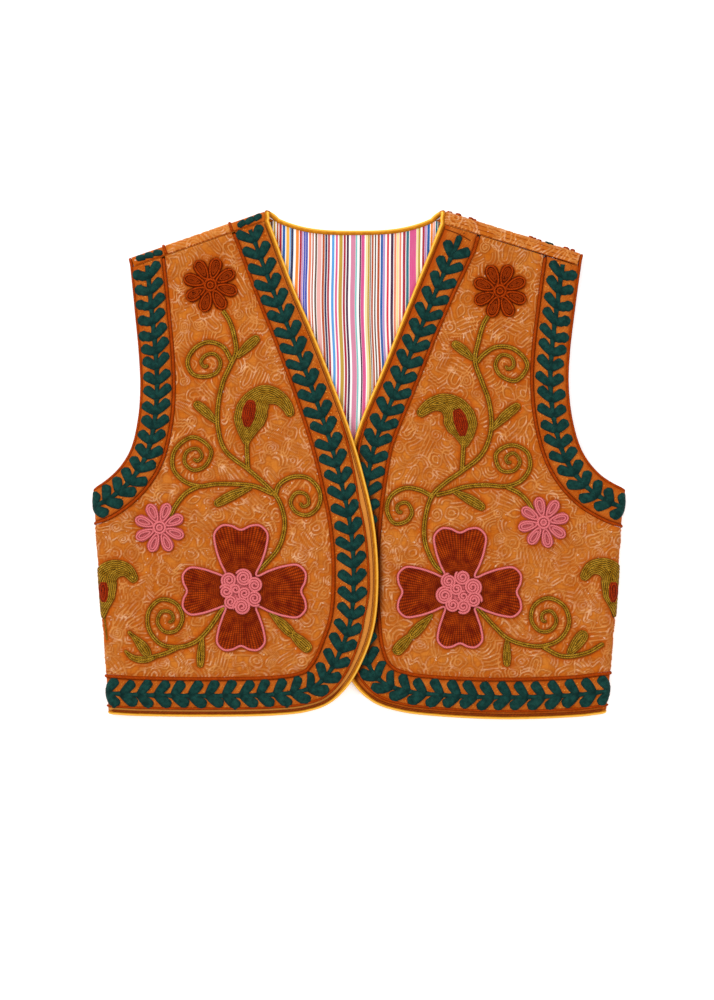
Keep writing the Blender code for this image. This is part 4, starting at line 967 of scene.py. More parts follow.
def field_points(side):
    """Grid over the field of a front, from the side seam underneath to the band."""
    front = FRONT_SEAM[side].offset(PIPING_R + 0.2)
    arm = ARMHOLE_SEAM[side].offset(PIPING_R + 0.2)
    drop = SEAM_DROP[side] + GAP / 2
    corner = front.reach[np.argmin(front.points.sum(1))]
    hem = front.part(side_seam_reach(front, side), corner)
    opening = front.part(corner, seam_reach(front, side, drop))
    arm_foot = arm.at(side_seam_reach(arm, side))
    rising = np.linspace(hem.points[0, 1], arm_foot[1], 60)
    seam = fold_start(side, rising) + math.pi * FOLD_R + UNDER_TURN
    armhole = arm.part(side_seam_reach(arm, side), seam_reach(arm, side, drop))
    outer = Line(np.vstack([np.stack([seam, rising], 1)[:-1], armhole.points]))
    shoulder = Line(np.stack([armhole.points[-1], opening.points[-1]]))
    columns, rows = round(hem.length / CELL), round(opening.length / CELL)
    return coons(
        hem, shoulder, outer, opening, np.linspace(0, 1, columns + 1), np.linspace(0, 1, rows + 1)
    )


def seam_tree(side):
    """A search tree along the seams, where the halo of deeper dye and painted shade lies too."""
    return search_tree(np.vstack([FRONT_SEAM[side].points[::2], ARMHOLE_SEAM[side].points[::2]]))


for side in SIDES:
    points = field_points(side)
    out, up = points[..., 0], points[..., 1]
    to_line = distances(quilt_tree(side), *hand(out, up))
    fade = np.sin(out / 6.7 + np.sin(up / 9.1))
    worn = 0.72 + 0.34 * fade * np.sin(up / 7.3 + 1.3 * np.sin(out / 5.7))
    to_motif = distances(motif_tree(side), out, up)
    to_seam = distances(seam_tree(side), out, up)
    line = np.clip(ease(1.5 - to_line / LINE_HALF) * worn * 0.8, 0, 1)
    # Painted shade in the hollow beside each line.
    ditch = ease(1.8 - to_line / 1.4) * 0.5
    # The halo: deeper dye and painted shade round the motifs and along the seams.
    halo = np.maximum(ease(1 - (to_motif - 1.0) / 6.5), 0.75 * ease(1 - (to_seam - 2) / 7.0))
    # A painted contact shadow round the motifs, and the painted shadow of the right front's edge.
    contact = np.maximum(0.34 * ease(1 - (to_motif - 0.5) / 1.2), overlap_shade(side, out, up))
    calm = ease((to_motif - 1.2) / 1.5)
    rise = (quilt_puff(out, up) + LINE_RISE * line) * calm * ease((to_seam - 1.5) / 4)
    rim = np.ones_like(rise)
    rim[[0, -1]] = rim[:, [0, -1]] = 0
    rim = rim * ease((fold_start(side, up) + 2.1 * FOLD_R - out) / 4)
    proud = rise * rim
    line = line * calm * rim
    skirted = with_skirt(out, up, proud)
    sewing = Sewing("quilted_front_" + side, side)
    sewing.patch(
        *skirted,
        line=np.pad(line, 1),
        halo=np.pad(halo, 1, "edge"),
        ditch=np.pad(ditch * calm * rim, 1),
        contact=np.pad(contact, 1, "edge"),
    )
    piece = sewing.done(field, ["front_" + side], 60, closed=False)
    print("Flat area in square metres:", round(flat_area(out, up), 4))

# %% [markdown]
# ## Band cloth
# A plain orange twill strip runs down each front edge, round the corner and along the hem, and another
# round each armhole. A strip is a grid between two parallel lines, and Solidify gives the thickness.

# %% Bands
band, tree, shader = cloth_material("orange_cotton_twill", 0.75, 0.03)
# Twill shows as fine diagonal ribs. Real ribs are 0.6 mm apart; they are drawn at 2.4 mm to show.
TWILL_RIB = 2.4
WAVE = 0.314  # length in metres of one wave of the Wave texture, at a scale of 1
place = node(tree, "TexCoord", out="Object")
turned = node(tree, "Mapping", {"Vector": place, "Rotation": (0, 0, math.radians(38))})
twill = {"Vector": turned, "Scale": WAVE * METRE / TWILL_RIB, "Distortion": 2.0, "Detail": 1.0}
ribs = node(tree, "TexWave", twill, out="Fac")
patches = blotches(tree, place, 12.0, 3.0, 0.6, 0.35, 0.66)
tone = node(tree, "Mix", {0: patches, 6: colour("#A84802"), 7: colour("#BE6620")}, **COLOURS)
tone = tinted_between(tree, tone, ribs, "#6A2C06", 0.22)
tone = tinted(tree, tone, blotches(tree, place, 1.6, 2.0, 0.6, 0.62, 0.70), "#E89A3C")  # flecks
tone = tinted(tree, tone, blotches(tree, place, 2.4, 2.0, 0.6, 0.66, 0.74), "#4A2408")  # dirt
# rim is painted shade along the band's edges beside the binding and the pipings, and shade the painted
# shadow of the right front's edge.
for name, code in (("rim", "#A84204"), ("gilt", "#D48C3C"), ("shade", "#2C0E02")):
    tone = tinted(tree, tone, node(tree, "Attribute", out="Fac", attribute_name=name), code)
finish_cloth(tree, shader, tone, ribs, 0.3, 0.3)


def strip(side, line, low, high, ends):
    """Grid between two parallels of a line. ends gives where each parallel starts and stops."""
    v = np.linspace(0, 1, 13)
    count = round(line.length / 3)
    found = []
    for share in v:
        beside = line.offset(low * (1 - share) + high * share)
        start, end = ends(side, beside)
        found.append(beside.at(np.linspace(start, end, count + 1)))
    return np.stack(found, 1), v


def solid_cloth(piece, thick=CLOTH):
    """Gives a cloth its thickness, inwards from its outer face."""
    wall = piece.modifiers.new("thickness", "SOLIDIFY")
    wall.thickness = thick / 1000
    wall.offset = -1
    return piece


def edge_ends(side, line):
    return seam_reach(line, side, SEAM_DROP[side] + GAP / 2), side_seam_reach(line, side)


def armhole_ends(side, line):
    return side_seam_reach(line, side), seam_reach(line, side, SEAM_DROP[side] + GAP / 2)


InnerRow = namedtuple("InnerRow", "up off")
INNER_ROWS = (  # how far the thin inner cord lies from the edge, at each height
    InnerRow(-20, 8.2),
    InnerRow(12, 8.4),
    InnerRow(60, 10.5),
    InnerRow(98, 12.0),
    InnerRow(128, 9.6),
    InnerRow(158, 10.2),
    InnerRow(188, 10.6),
    InnerRow(218, 11.4),
    InnerRow(248, 8.8),
    InnerRow(278, 6.8),
    InnerRow(310, 5.4),
)
for side in SIDES:
    armhole_high = ARMHOLE_BAND[side] - PIPING_R - 0.2
    for name, line, low, high, ends in (
        ("front", EDGE[side], 2 * BINDING_R - 0.3, band_width(side) - PIPING_R - 0.2, edge_ends),
        ("armhole", ARMHOLE[side], 2 * ARMHOLE_PIPING_R - 0.3, armhole_high, armhole_ends),
    ):
        points, v = strip(side, line, low, high, ends)
        out, up = points[..., 0], points[..., 1]
        # rim: painted shade along the edges beside the binding and the pipings, and on the wearer's left
        # front a wider darker strip by the binding near the neck.
        gold_side = 0.3 if (name, side) == ("front", "right") else 1.0
        rim = np.maximum(gold_side * ease(1 - v / 0.16), ease((v - 0.86) / 0.14)) * 0.7 + 0 * out
        if (name, side) == ("front", "left"):
            rim = np.maximum(rim, ease(1.3 - v / 0.20) * ease((up - 275) / 40))
        cord_off = np.interp(up, column(INNER_ROWS, "up"), column(INNER_ROWS, "off"))
        wide = float(np.mean(high - low))
        gilt = ease((cord_off - low - v * wide) / 1.5) * (name == "front")
        gilt = 0.7 * gilt * (side == "right")  # the right band is golden up to the inner cord
        sewing = Sewing(f"{name}_edge_band_{side}", side)
        sewing.patch(out, up, 0.0, rim=rim, shade=overlap_shade(side, out, up), gilt=gilt)
        piece = solid_cloth(sewing.done(band, [f"{name}_band_{side}"], closed=False))
        start, end = ends(side, line)

# %% [markdown]
# ## Cords
# Pipings, bindings and all the looped embroidery are round cords. Each is a grid rolled up: rows
# follow the path, and columns go once round it. Its material reads the length along the cord, so the
# twist of the thread follows every bend.


# %% Cord helper
def rolled_cord(sewing, path, radius, sides=8, closed=False, shade=None, lean=None):
    """Adds a round cord along table points. shade darkens it, and lean fades its painted flank shade and
    highlight.
    """
    path = np.asarray(path, float)
    if closed:
        path = np.vstack([path, path[:1]])
        around = np.vstack([path[-2:-1], path, path[1:2]])
        ahead = around[2:] - around[:-2]
    else:
        ahead = np.gradient(path, axis=0)
    ahead /= np.linalg.norm(ahead, axis=1, keepdims=True)
    beside = np.cross(ahead, [0, 0, 1.0])
    length = np.linalg.norm(beside, axis=1, keepdims=True)
    keep = np.where(length[:, 0] > 0.15)[0]
    for k in np.where(length[:, 0] <= 0.15)[0]:
        beside[k] = beside[keep[np.argmin(np.abs(keep - k))]]
    beside /= np.linalg.norm(beside, axis=1, keepdims=True)
    over = np.cross(beside, ahead)
    steps = np.linalg.norm(np.diff(path, axis=0), axis=1)
    s = np.concatenate([[0], np.cumsum(steps)])
    radii = np.broadcast_to(np.asarray(radius, float), s.shape).copy()
    if not closed:
        radii *= np.sqrt(1 - (1 - np.clip(np.minimum(s, s[-1] - s) / radii.max(), 0, 1)) ** 2)
    turn = np.linspace(2 * math.pi, 0, sides + 1)
    ring = np.cos(turn)[None, :, None] * beside[:, None] + np.sin(turn)[None, :, None] * over[:, None]
    placed = path[:, None] + radii[:, None, None] * ring
    bmesh.ops.create_grid(sewing.bm, x_segments=sides, y_segments=len(path) - 1, size=1)
    sewing.places.append(to_frame(placed).reshape(-1, 3))
    grid = np.zeros(placed.shape[:2])
    lean = np.ones_like(s) if lean is None else np.append(lean, lean[:1])
    values = {"along": s[:, None] + grid, "around": lean[:, None] * np.cos(turn)[None, :]}
    if shade is not None:
        values["shade"] = np.broadcast_to(shade, s.shape)[:, None] + grid
    for key, value in values.items():
        sewing.values.setdefault(key, []).append(value.reshape(-1))


def laid_path(side, points, proud):
    """Table points of a path of pattern points."""
    points = np.asarray(points, float)
    return lay_front(side, points[:, 0], points[:, 1], np.broadcast_to(proud, len(points)))


def cord_material(
    name, light, dark, twist, roughness, sheen, speck=None, spread=0.5, depth=0.92, lit=None
):
    """Twisted or covered cord: ribs across it every twist millimetres, darker between them.

    spread is how uneven the dye is, depth how dark the painted shade on its flanks is, lit the colour of
    a painted highlight on one side.
    """
    made, tree, shader = cloth_material(name, roughness, sheen)
    place = node(tree, "TexCoord", out="Object")
    around, along, shade = (
        node(tree, "Attribute", out="Fac", attribute_name=name)
        for name in ("around", "along", "shade")
    )
    slant = node(tree, "Math", {0: around, 1: 0.5 * twist}, operation="MULTIPLY")
    length = node(tree, "Math", {0: along, 1: slant}, operation="ADD")
    ribs = ribbed(tree, length, twist, -1.0, 0.4)
    faded = node(tree, "Mix", {0: spread, 6: colour(light), 7: colour(dark)}, **COLOURS)
    worn = blotches(tree, place, 4.0, 3.0, 0.6, 0.35, 0.68)
    tone = node(tree, "Mix", {0: worn, 6: faded, 7: colour(light)}, **COLOURS)
    tone = tinted_between(tree, tone, ribs, dark, 0.7)
    # Painted shade on both flanks of the cord, deepest at its sides.
    flank = node(tree, "Math", {0: around, 1: around}, operation="MULTIPLY")
    tone = tinted(tree, tone, node(tree, "MapRange", {0: flank, 1: 0.18, 2: 0.90}), dark, depth)
    # With lit, the cord gets painted shade on one flank, a painted highlight past its crest, and its own
    # colour at the far edge.
    if lit:  # dark on the inner side, then the lit colour, then the cord's own
        for low, high, code, share in (
            (0.1, -0.7, dark, 0.7),
            (0.05, 0.35, lit, 1.0),
            (0.6, 0.95, light, 1.0),
        ):
            face = node(tree, "MapRange", {0: around, 1: low, 2: high})
            tone = tinted(tree, tone, face, code, share)
    # shade darkens the cord towards brown: the painted shadow of the right front's edge, painted shade
    # on a flower's padding where it shows between the loops, and inner loops darker than a flower's
    # outline.
    tone = tinted(tree, tone, shade, "#2C0E02")
    if speck:
        tone = tinted(tree, tone, blotches(tree, place, 1.7, 1.0, 0.5, 0.66, 0.72), speck)
    finish_cloth(tree, shader, tone, ribs, 0.4, 0.4)
    return made


# %% [markdown]
# Rust piping is a cotton cord covered with bias-cut cloth, caught in the seam. It is matt, and its
# slanting ribs are the cover's weave.

# %% Pipings in the seams and round the armholes
rust = cord_material("rust_bias_piping", "#B64604", "#6A1E00", 1.5, 0.75, 0.0, depth=0.55)


PIPING_TURN = 1.9  # how far round the side fold a piping goes, in radians


def armhole_loop(side):
    """Up the front of the armhole, over the shoulder and down the back."""
    line = ARMHOLE[side].offset(ARMHOLE_PIPING_R)
    top, foot = seam_reach(line, side, FOLD_R), rolled_reach(line, side, math.pi)
    out, up = line.at(np.arange(foot, top, 3.0)).T
    turned = ease((out - fold_start(side, up)) / (math.pi * FOLD_R))
    centre = -CLOTH / 2 * (1 - turned) - ARMHOLE_PIPING_R * turned
    front = lay_front(side, out, up, centre)
    base = line.at(top)
    _, _, across = shoulder_frame(side)
    angles = np.linspace(0, math.pi, 8)[1:-1]
    radius = FOLD_R - CLOTH / 2
    flat = np.array([SIGN[side] * base[0], base[1]])
    swing = np.sin(angles)[:, None] * radius
    over = flat + swing * np.array([SIGN[side] * across[0], across[1]])
    over = np.hstack([over, (FOLD_R + radius * np.cos(angles))[:, None]])
    keep = out < fold_start(side, up) - 2
    back = np.stack([SIGN[side] * out, up, np.full_like(up, ARMHOLE_PIPING_R)], 1)[keep][::-1]
    path = smooth(np.vstack([front, over, back, front[:1]]), 2.0)
    return path[:-1]


for side in SIDES:
    for name, solid, line, radius in (
        ("front_seam_cord_", "front_piping_", FRONT_SEAM[side], PIPING_R + 0.15),
        ("armhole_seam_cord_", "armhole_seam_piping_", ARMHOLE_SEAM[side], PIPING_R),
    ):
        ends = rolled_reach(line, side, PIPING_TURN), seam_reach(line, side, SEAM_DROP[side] + 1)
        start, end = sorted(ends)
        out, up = line.at(np.linspace(start, end, round((end - start) / 2) + 1)).T
        # The front seam's cord is painted in the shadow of the right front's edge.
        shade = overlap_shade(side, out, up) if line is FRONT_SEAM[side] else None
        sewing = Sewing(name + side, side)
        rolled_cord(sewing, lay_front(side, out, up, GAP / 2), radius, shade=shade)
        sewing.done(rust, [solid + side], 80)

    sewing = Sewing("armhole_edge_cord_" + side, side)
    rolled_cord(sewing, armhole_loop(side), ARMHOLE_PIPING_R, closed=True)
    sewing.done(rust, ["armhole_piping_" + side], 80)

# %% [markdown]
# ## Golden binding
# A satin strip is folded over the raw edge all the way round: neck, fronts, corners and hem. Satin
# has long threads that lie across the strip, so it shines along its length, and the ribs are fine.

# %% Binding round the whole edge
# The gold has painted shade along one flank and a painted highlight along the other side of its crest.
gold = cord_material("golden_satin_binding", "#E8981C", "#8E4604", 1.3, 0.42, 0.0, lit="#FFC24C")


def neck_up(x):
    """Height of the back neck's edge at a place across."""
    right, left = NECK_POINT["right"][0], NECK_POINT["left"][0]
    share = (x - (left - right) / 2) / ((left + right) / 2)
    return NECK_POINT["left"][1] - NECK_DROP * (1 - np.abs(np.clip(share, -1, 1)) ** NECK_POWER)


def back_hem_up(x):
    return 4.0 + BACK_ARCH * (1 - np.clip(np.abs(x) / 243.0, 0, 1) ** 2)


def edge_path(side):
    line = EDGE[side].offset(BINDING_R)
    s = np.arange(seam_reach(line, side, SEAM_DROP[side]), side_seam_reach(line, side), 2.0)
    out, up = line.at(s).T
    turned = ease((out - fold_start(side, up)) / (math.pi * FOLD_R))
    centre = -CLOTH / 2 * (1 - turned) - BINDING_R * turned
    return lay_front(side, out, up, centre)


NECK_BINDING_R = 2.6
NeckTurn = namedtuple("NeckTurn", "inward down height")
NECK_TURN = (
    NeckTurn(2.2, 7.0, 2 * FOLD_R - CLOTH / 2),
    NeckTurn(1.4, 3.4, 2 * FOLD_R - CLOTH / 2 - 1.0),
    NeckTurn(1.8, 1.4, FOLD_R + 1.0),
    NeckTurn(4.0, 2.2, FOLD_R - 1.8),
    NeckTurn(8.5, 5.0, NECK_BINDING_R + 0.2),
)


def neck_turn(side):
    neck_out, neck_high = NECK_POINT[side]
    inward, down, height = (column(NECK_TURN, name) for name in NeckTurn._fields)
    return np.stack([SIGN[side] * (neck_out - inward), neck_high - down, height], 1)


right, left = edge_path("right"), edge_path("left")
x = np.linspace(-NECK_POINT["right"][0] + 13, NECK_POINT["left"][0] - 13, 60)
neck = np.stack([x, neck_up(x) - BINDING_R, np.full_like(x, NECK_BINDING_R)], 1)
x = np.linspace(left[-1, 0] - 3, right[-1, 0] + 3, 120)
hem = np.stack([x, back_hem_up(x) + BINDING_R, np.full_like(x, BINDING_R)], 1)
hem = hem[np.abs(hem[:, 0]) < 236]
turns = {side: neck_turn(side) for side in SIDES}
path = np.vstack([right[::-1], turns["right"], neck, turns["left"][::-1], left, hem])
path = smooth(np.vstack([path, path[:1]]), 2.0)[:-1]
sewing = Sewing("golden_edge_binding")
by_neck = ease((path[:, 1] - 460) / 20)
raised_share = ease((path[:, 2] - 3) / 4)
# lean sets how strong the painted highlight and flank shade are: full where the binding lies high on the
# fronts, faint where it lies low, and turned the other way round at the back neck.
lean = 0.25 + 0.75 * raised_share - 0.7 * by_neck * (1 - raised_share)
radius = BINDING_R + (NECK_BINDING_R - BINDING_R) * by_neck
rolled_cord(sewing, path, np.append(radius, radius[:1]), sides=12, closed=True, lean=lean)
sewing.done(gold, ["edge_binding"], 80)

# %% [markdown]
# ## Stitched lines
# A dark running stitch holds the binding down, and the thin inner cord follows it round the curved
# corner and along the hem. Another row of stitches shows on the wearer's left yoke.

# %% Stitching beside the edge
running = cord_material("dark_running_stitch", "#943C06", "#54220A", 3.2, 0.8, 0.0)
YOKE_LINE = ((87.5, 489), (101, 484), (114, 477))
STITCH_TURN = 2.2  # how far round the side fold the stitches go, in radians
sewing = Sewing("yoke_stitches_left", "left")
rolled_cord(sewing, laid_path("left", smooth(YOKE_LINE, 1.5), 0.1), 0.55, sides=6)
sewing.done(running, (), 80)
for side in SIDES:
    line = EDGE[side]
    start, end = seam_reach(line, side, SEAM_DROP[side] + 1), rolled_reach(line, side, STITCH_TURN)
    sewing = Sewing("binding_stitches_" + side, side)
    s = np.linspace(start, end - 10, round((end - start) / 2))
    up = line.at(s)[:, 1]
    low_share = ease((34 - up) / 22)
    beside = line.beside(s, 2 * BINDING_R + 0.7 - 1.0 * low_share)
    thick = 0.3 + 0.2 * ease((up - 270) / 40) + 0.9 * low_share
    rolled_cord(sewing, laid_path(side, beside, 0.15 + 0.5 * low_share), thick, sides=6)
    sewing.done(running, (), 80)

    low = line.reach[np.argmin(np.abs(line.points[:, 1] - 300))]
    s = np.linspace(low, end, round((end - low) / 2.5) + 1)
    off = np.interp(line.at(s)[:, 1], column(INNER_ROWS, "up"), column(INNER_ROWS, "off"))
    sewing = Sewing("inner_rust_cord_" + side, side)
    rolled_cord(sewing, laid_path(side, line.beside(s, off), 0.5), 1.15, sides=6)
    sewing.done(rust, (), 80)

# %% [markdown]
# ## The back and the striped lining
# The back lies with its outer face on the table, and rolls forward over both shoulders to the seams.
# Only its rolled edge shows from above. The grid follows the armholes, and the rolled strip goes on
# from its top row.


# %% Back panel
HEM_END = 235.0  # where the back's hem meets its sides


def side_line(side, inset, top):
    """Back's side from the hem to the underarm and up the armhole, in table x and y."""
    arm = ARMHOLE[side].offset(inset)
    foot = fold_start(side, np.array(UNDERARM_UP)) - UNDER_TURN
    arm_points = arm.points[(arm.points[:, 0] < foot - 2) & (arm.points[:, 1] > 200)]
    past = past_shoulder(side, arm_points[:, 0], arm_points[:, 1])
    arm_points = arm_points[past < top]
    hem_foot = back_hem_up(HEM_END) + 2 * BINDING_R + 1.0
    rising = np.linspace(hem_foot, arm_points[0, 1] - 6, 60)
    seam = fold_start(side, rising) - UNDER_TURN - 0.5
    points = np.vstack([np.stack([seam, rising], 1), arm_points])
    return Line(np.stack([SIGN[side] * points[:, 0], points[:, 1]], 1))


def lay_back(side, out, up, proud):
    """Places the back, which rolls forward over the shoulder fold. proud is outwards."""
    out, up, proud = (np.asarray(v, float) for v in (out, up, proud))
    _, _, across = shoulder_frame(side)
    past = past_shoulder(side, out, up)
    turn = (past + FOLD_R) / FOLD_R
    rolled = np.clip(turn, 0, math.pi)
    radius = FOLD_R + proud
    over = np.maximum(turn - math.pi, 0) * FOLD_R
    now = -FOLD_R + radius * np.sin(rolled) - over
    shift = np.where(turn < 0, 0, now - past)
    z = np.where(turn < 0, -proud, FOLD_R - radius * np.cos(rolled))
    return np.stack([SIGN[side] * (out + shift * across[0]), up + shift * across[1], z], -1)


def lay_table(_, x, up, proud):
    parts = {s: lay_back(s, SIGN[s] * x, up, proud) for s in SIDES}
    return np.where((x < 0)[..., None], parts["right"], parts["left"])


arm_gap, hem_gap = 2 * ARMHOLE_PIPING_R + 0.2, 2 * BINDING_R - 0.2
first, last = (side_line(side, arm_gap, -FOLD_R) for side in SIDES)
x = np.linspace(first.points[0, 0], last.points[0, 0], 200)
bottom = Line(np.stack([x, back_hem_up(x) + hem_gap], 1))
bottom.points[0], bottom.points[-1] = first.points[0], last.points[0]
tops = []
for side in SIDES:
    neck_point, along, across_fold = shoulder_frame(side)
    inner = neck_point - across_fold * FOLD_R + along * (2 * BINDING_R + GAP)
    tops.append(np.array([SIGN[side] * inner[0], inner[1]]))
x = np.linspace(tops[0][0], tops[1][0], 120)
neck_line = np.stack([x, neck_up(x) - hem_gap], 1)
neck_line[0], neck_line[-1] = tops
neck_line = Line(neck_line)
shoulder_cells, neck_cells, rise_cells = 28, 40, 100
top = Line(
    np.vstack(
        [
            np.linspace(first.points[-1], tops[0], shoulder_cells + 1)[:-1],
            neck_line.at(np.linspace(0, 1, neck_cells + 1)[:-1] * neck_line.length),
            np.linspace(tops[1], last.points[-1], shoulder_cells + 1),
        ]
    )
)
points = coons(bottom, top, first, last, top.reach / top.length, np.linspace(0, 1, rise_cells + 1))
x, up = points[..., 0], points[..., 1]
channels = np.minimum(np.abs((x + up) % 40 - 20), np.abs((x - up) % 40 - 20))
sink = 0.5 * np.exp(-((channels / 3.0) ** 2))
sink[[0, -1]] = sink[:, [0, -1]] = 0
sewing = Sewing("quilted_back", "right")
# The back's sunken channels are painted darker, as shade in their hollows.
sewing.patch(x, up, -sink, lay_table, line=0.0, halo=0.25, ditch=sink, contact=0.0)
NECK_REACH = 3.4  # how far the rolled strip goes past the back's own neck end
PLAIN_BY_NECK, PLAIN_BY_ARM = 34.0, 36.0  # where the right front's bands go on over the shoulder
top_row = {"right": points[-1, shoulder_cells::-1], "left": points[-1, -shoulder_cells - 1 :]}
for side, row in top_row.items():
    _, _, across = shoulder_frame(side)
    ends = row[[0, -1]]  # at the neck and at the armhole
    ends[0] += (ends[0] - ends[1]) * NECK_REACH / np.linalg.norm(ends[0] - ends[1])
    ends = ends[0] + np.linspace(0, 1, 130)[:, None] * (ends[1] - ends[0])
    steps = np.linspace(0, math.pi * FOLD_R + SEAM_DROP[side] - FOLD_R - GAP / 2, 25)
    rolled = ends[None] + steps[:, None, None] * np.array([SIGN[side] * across[0], across[1]])
    x, up = rolled[..., 0], rolled[..., 1]
    to_line = distances(quilt_tree(side), SIGN[side] * x, up)
    along_seam = np.linalg.norm(rolled - rolled[:, :1], axis=2)
    banded = (along_seam < PLAIN_BY_NECK) | (along_seam > along_seam.max() - PLAIN_BY_ARM)
    banded = banded * (side == "right")
    line = ease(1.5 - to_line / LINE_HALF) * 0.75 * (1 - banded)
    line[[0, -1]] = line[:, [0, -1]] = 0
    halo = 0.3 + 0.5 * banded
    sewing.patch(x, up, 0.7 * line, lay_table, line=line, halo=halo, ditch=0.0, contact=0.0)
piece = solid_cloth(sewing.done(field, ["back"], 60, closed=False))

# %% [markdown]
# The lining is white cotton, woven with narrow stripes of coloured thread that run from neck to hem.
# Each stripe is one column of faces, so its edges stay sharp, and a value on the face picks its
# thread from a colour ramp. The stripes are a table: the thread, its width and the white after it.

# %% Striped lining
THREADS = {
    "white": "#F6F0EC",
    "blush": "#E0A49C",
    "rose": "#D04C84",
    "crimson": "#A20A30",
    "scarlet": "#D02038",
    "coral": "#E07C58",
    "rust": "#AC4418",
    "orange": "#E8801C",
    "amber": "#E9A638",
    "mustard": "#B8922C",
    "cream": "#E8D694",
    "teal": "#0C6878",
    "sky": "#4C96D2",
    "blue": "#12549C",
    "navy": "#16204C",
    "indigo": "#3C46A6",
    "umber": "#5E4434",
    "magenta": "#C43C8C",
    "plum": "#3C0C38",
    "heather": "#CC7C98",
    "sea": "#74B8B4",
    "lilac": "#B080B8",
}
Stripe = namedtuple("Stripe", "thread width gap")
STRIPES = (
    Stripe("mustard", 1.62, 1.38),
    Stripe("rust", 1.74, 0.76),
    Stripe("crimson", 2.55, 0.75),
    Stripe("blue", 2.78, 1.02),
    Stripe("amber", 3.02, 0.28),
    Stripe("sky", 1.20, 0.20),
    Stripe("navy", 2.55, 2.35),
    Stripe("orange", 3.02, 0.78),
    Stripe("crimson", 2.20, 0.20),
    Stripe("lilac", 1.39, 0.31),
    Stripe("indigo", 1.86, 0.24),
    Stripe("indigo", 2.09, 1.01),
    Stripe("coral", 2.32, 1.08),
    Stripe("rust", 1.39, 1.51),
    Stripe("umber", 1.86, 0.54),
    Stripe("blush", 3.94, 0.86),
    Stripe("rust", 2.32, 0.48),
    Stripe("navy", 2.09, 0.61),
    Stripe("crimson", 1.97, 2.03),
    Stripe("sky", 2.55, 1.35),
    Stripe("rose", 1.97, 1.43),
    Stripe("mustard", 3.48, 0.92),
    Stripe("crimson", 2.20, 0.90),
    Stripe("plum", 2.20, 2.00),
    Stripe("heather", 4.60, 0.20),
    Stripe("sea", 1.62, 2.38),
    Stripe("plum", 1.50, 0.20),
    Stripe("rose", 3.25, 1.15),
    Stripe("cream", 1.90, 0.20),
    Stripe("mustard", 1.97, 0.33),
    Stripe("umber", 1.04, 0.56),
    Stripe("rust", 1.86, 1.14),
    Stripe("umber", 1.51, 1.29),
    Stripe("rust", 2.32, 0.88),
    Stripe("blue", 2.40, 0.20),
    Stripe("lilac", 1.86, 1.84),
    Stripe("scarlet", 2.09, 1.81),
    Stripe("plum", 2.67, 0.73),
    Stripe("coral", 2.09, 0.31),
    Stripe("cream", 2.32, 0.48),
    Stripe("coral", 1.86, 1.64),
    Stripe("crimson", 2.67, 0.73),
    Stripe("teal", 2.67, 0.63),
    Stripe("rose", 6.60, 0.20),
    Stripe("cream", 1.70, 0.20),
    Stripe("mustard", 2.20, 1.90),
    Stripe("crimson", 2.30, 0.20),
    Stripe("lilac", 1.86, 0.44),
    Stripe("blue", 2.67, 0.83),
    Stripe("orange", 2.09, 0.41),
    Stripe("blush", 1.86, 0.64),
    Stripe("teal", 1.74, 0.56),
    Stripe("umber", 1.86, 1.14),
)
STRIPE_START = -83.3


def stripe_edges(low, high):
    """Where each column of the lining starts, and the thread that it holds."""
    repeat = sum(stripe.width + stripe.gap for stripe in STRIPES)
    edges, threads, x = [low], [], STRIPE_START
    while x > low:
        x -= repeat
    names = list(THREADS)
    while x < high:
        for stripe in STRIPES:
            for width, thread in ((stripe.width, stripe.thread), (stripe.gap, "white")):
                x += width
                if low + 0.2 < x and edges[-1] < high:
                    edges.append(min(x, high))
                    threads.append(names.index(thread))
    return np.array(edges), np.array(threads)


lining, tree, shader = cloth_material("striped_white_cotton", 0.8)
# Plain-woven cotton: a dull, even surface, each coloured thread a little uneven along its length.
place = node(tree, "TexCoord", out="Object")
which = node(tree, "Attribute", out="Fac", attribute_name="thread")
which = node(tree, "Math", {0: which, 1: len(THREADS)}, operation="DIVIDE")
chart = node(tree, "ValToRGB", {"Fac": which})
chart.node.color_ramp.interpolation = "CONSTANT"
stops = chart.node.color_ramp.elements
stops[1].position = 1 / len(THREADS)
for k, code in enumerate(THREADS.values()):
    stop = stops[k] if k < 2 else stops.new(k / len(THREADS))
    stop.color = colour(code)
stretched = node(tree, "Mapping", {"Vector": place, "Scale": (1, 0.08, 1)})
slub = blotches(tree, stretched, 1.2, 2.0, 0.6, 0.30, 0.75)
tone = tinted_between(tree, chart, slub, "#FFF7EC", 0.05)
# Broad greyish patches are painted shade, as of soft folds in the cloth.
tone = tinted_between(tree, tone, blotches(tree, place, 60.0, 2.0, 0.5, 0.2, 0.55), "#8C7A78", 0.16)
finish_cloth(tree, shader, tone, slub, 0.15, 0.2)

LINING = 1.0  # thickness
LINING_LOW = CLOTH + GAP
LINING_ROWS = 60
edges, threads = stripe_edges(-203.0, 201.0)


def lining_top(x):
    """Top of the lining: the back neck, or just below the shoulder folds."""
    tops = []
    for side in SIDES:
        neck_point, along, across = shoulder_frame(side)
        low = neck_point - across * (FOLD_R + 6)
        tops.append(low[1] + (SIGN[side] * x - low[0]) * along[1] / along[0])
    shoulder = np.where(x < 0, tops[0], tops[1])
    neck = np.minimum(neck_up(x) - 2 * BINDING_R + 0.2, shoulder)
    return np.where(np.abs(x) < NECK_POINT["left"][0], neck, shoulder)


def lay_lining(_, x, up, height):
    return np.stack([x, up, height], -1)


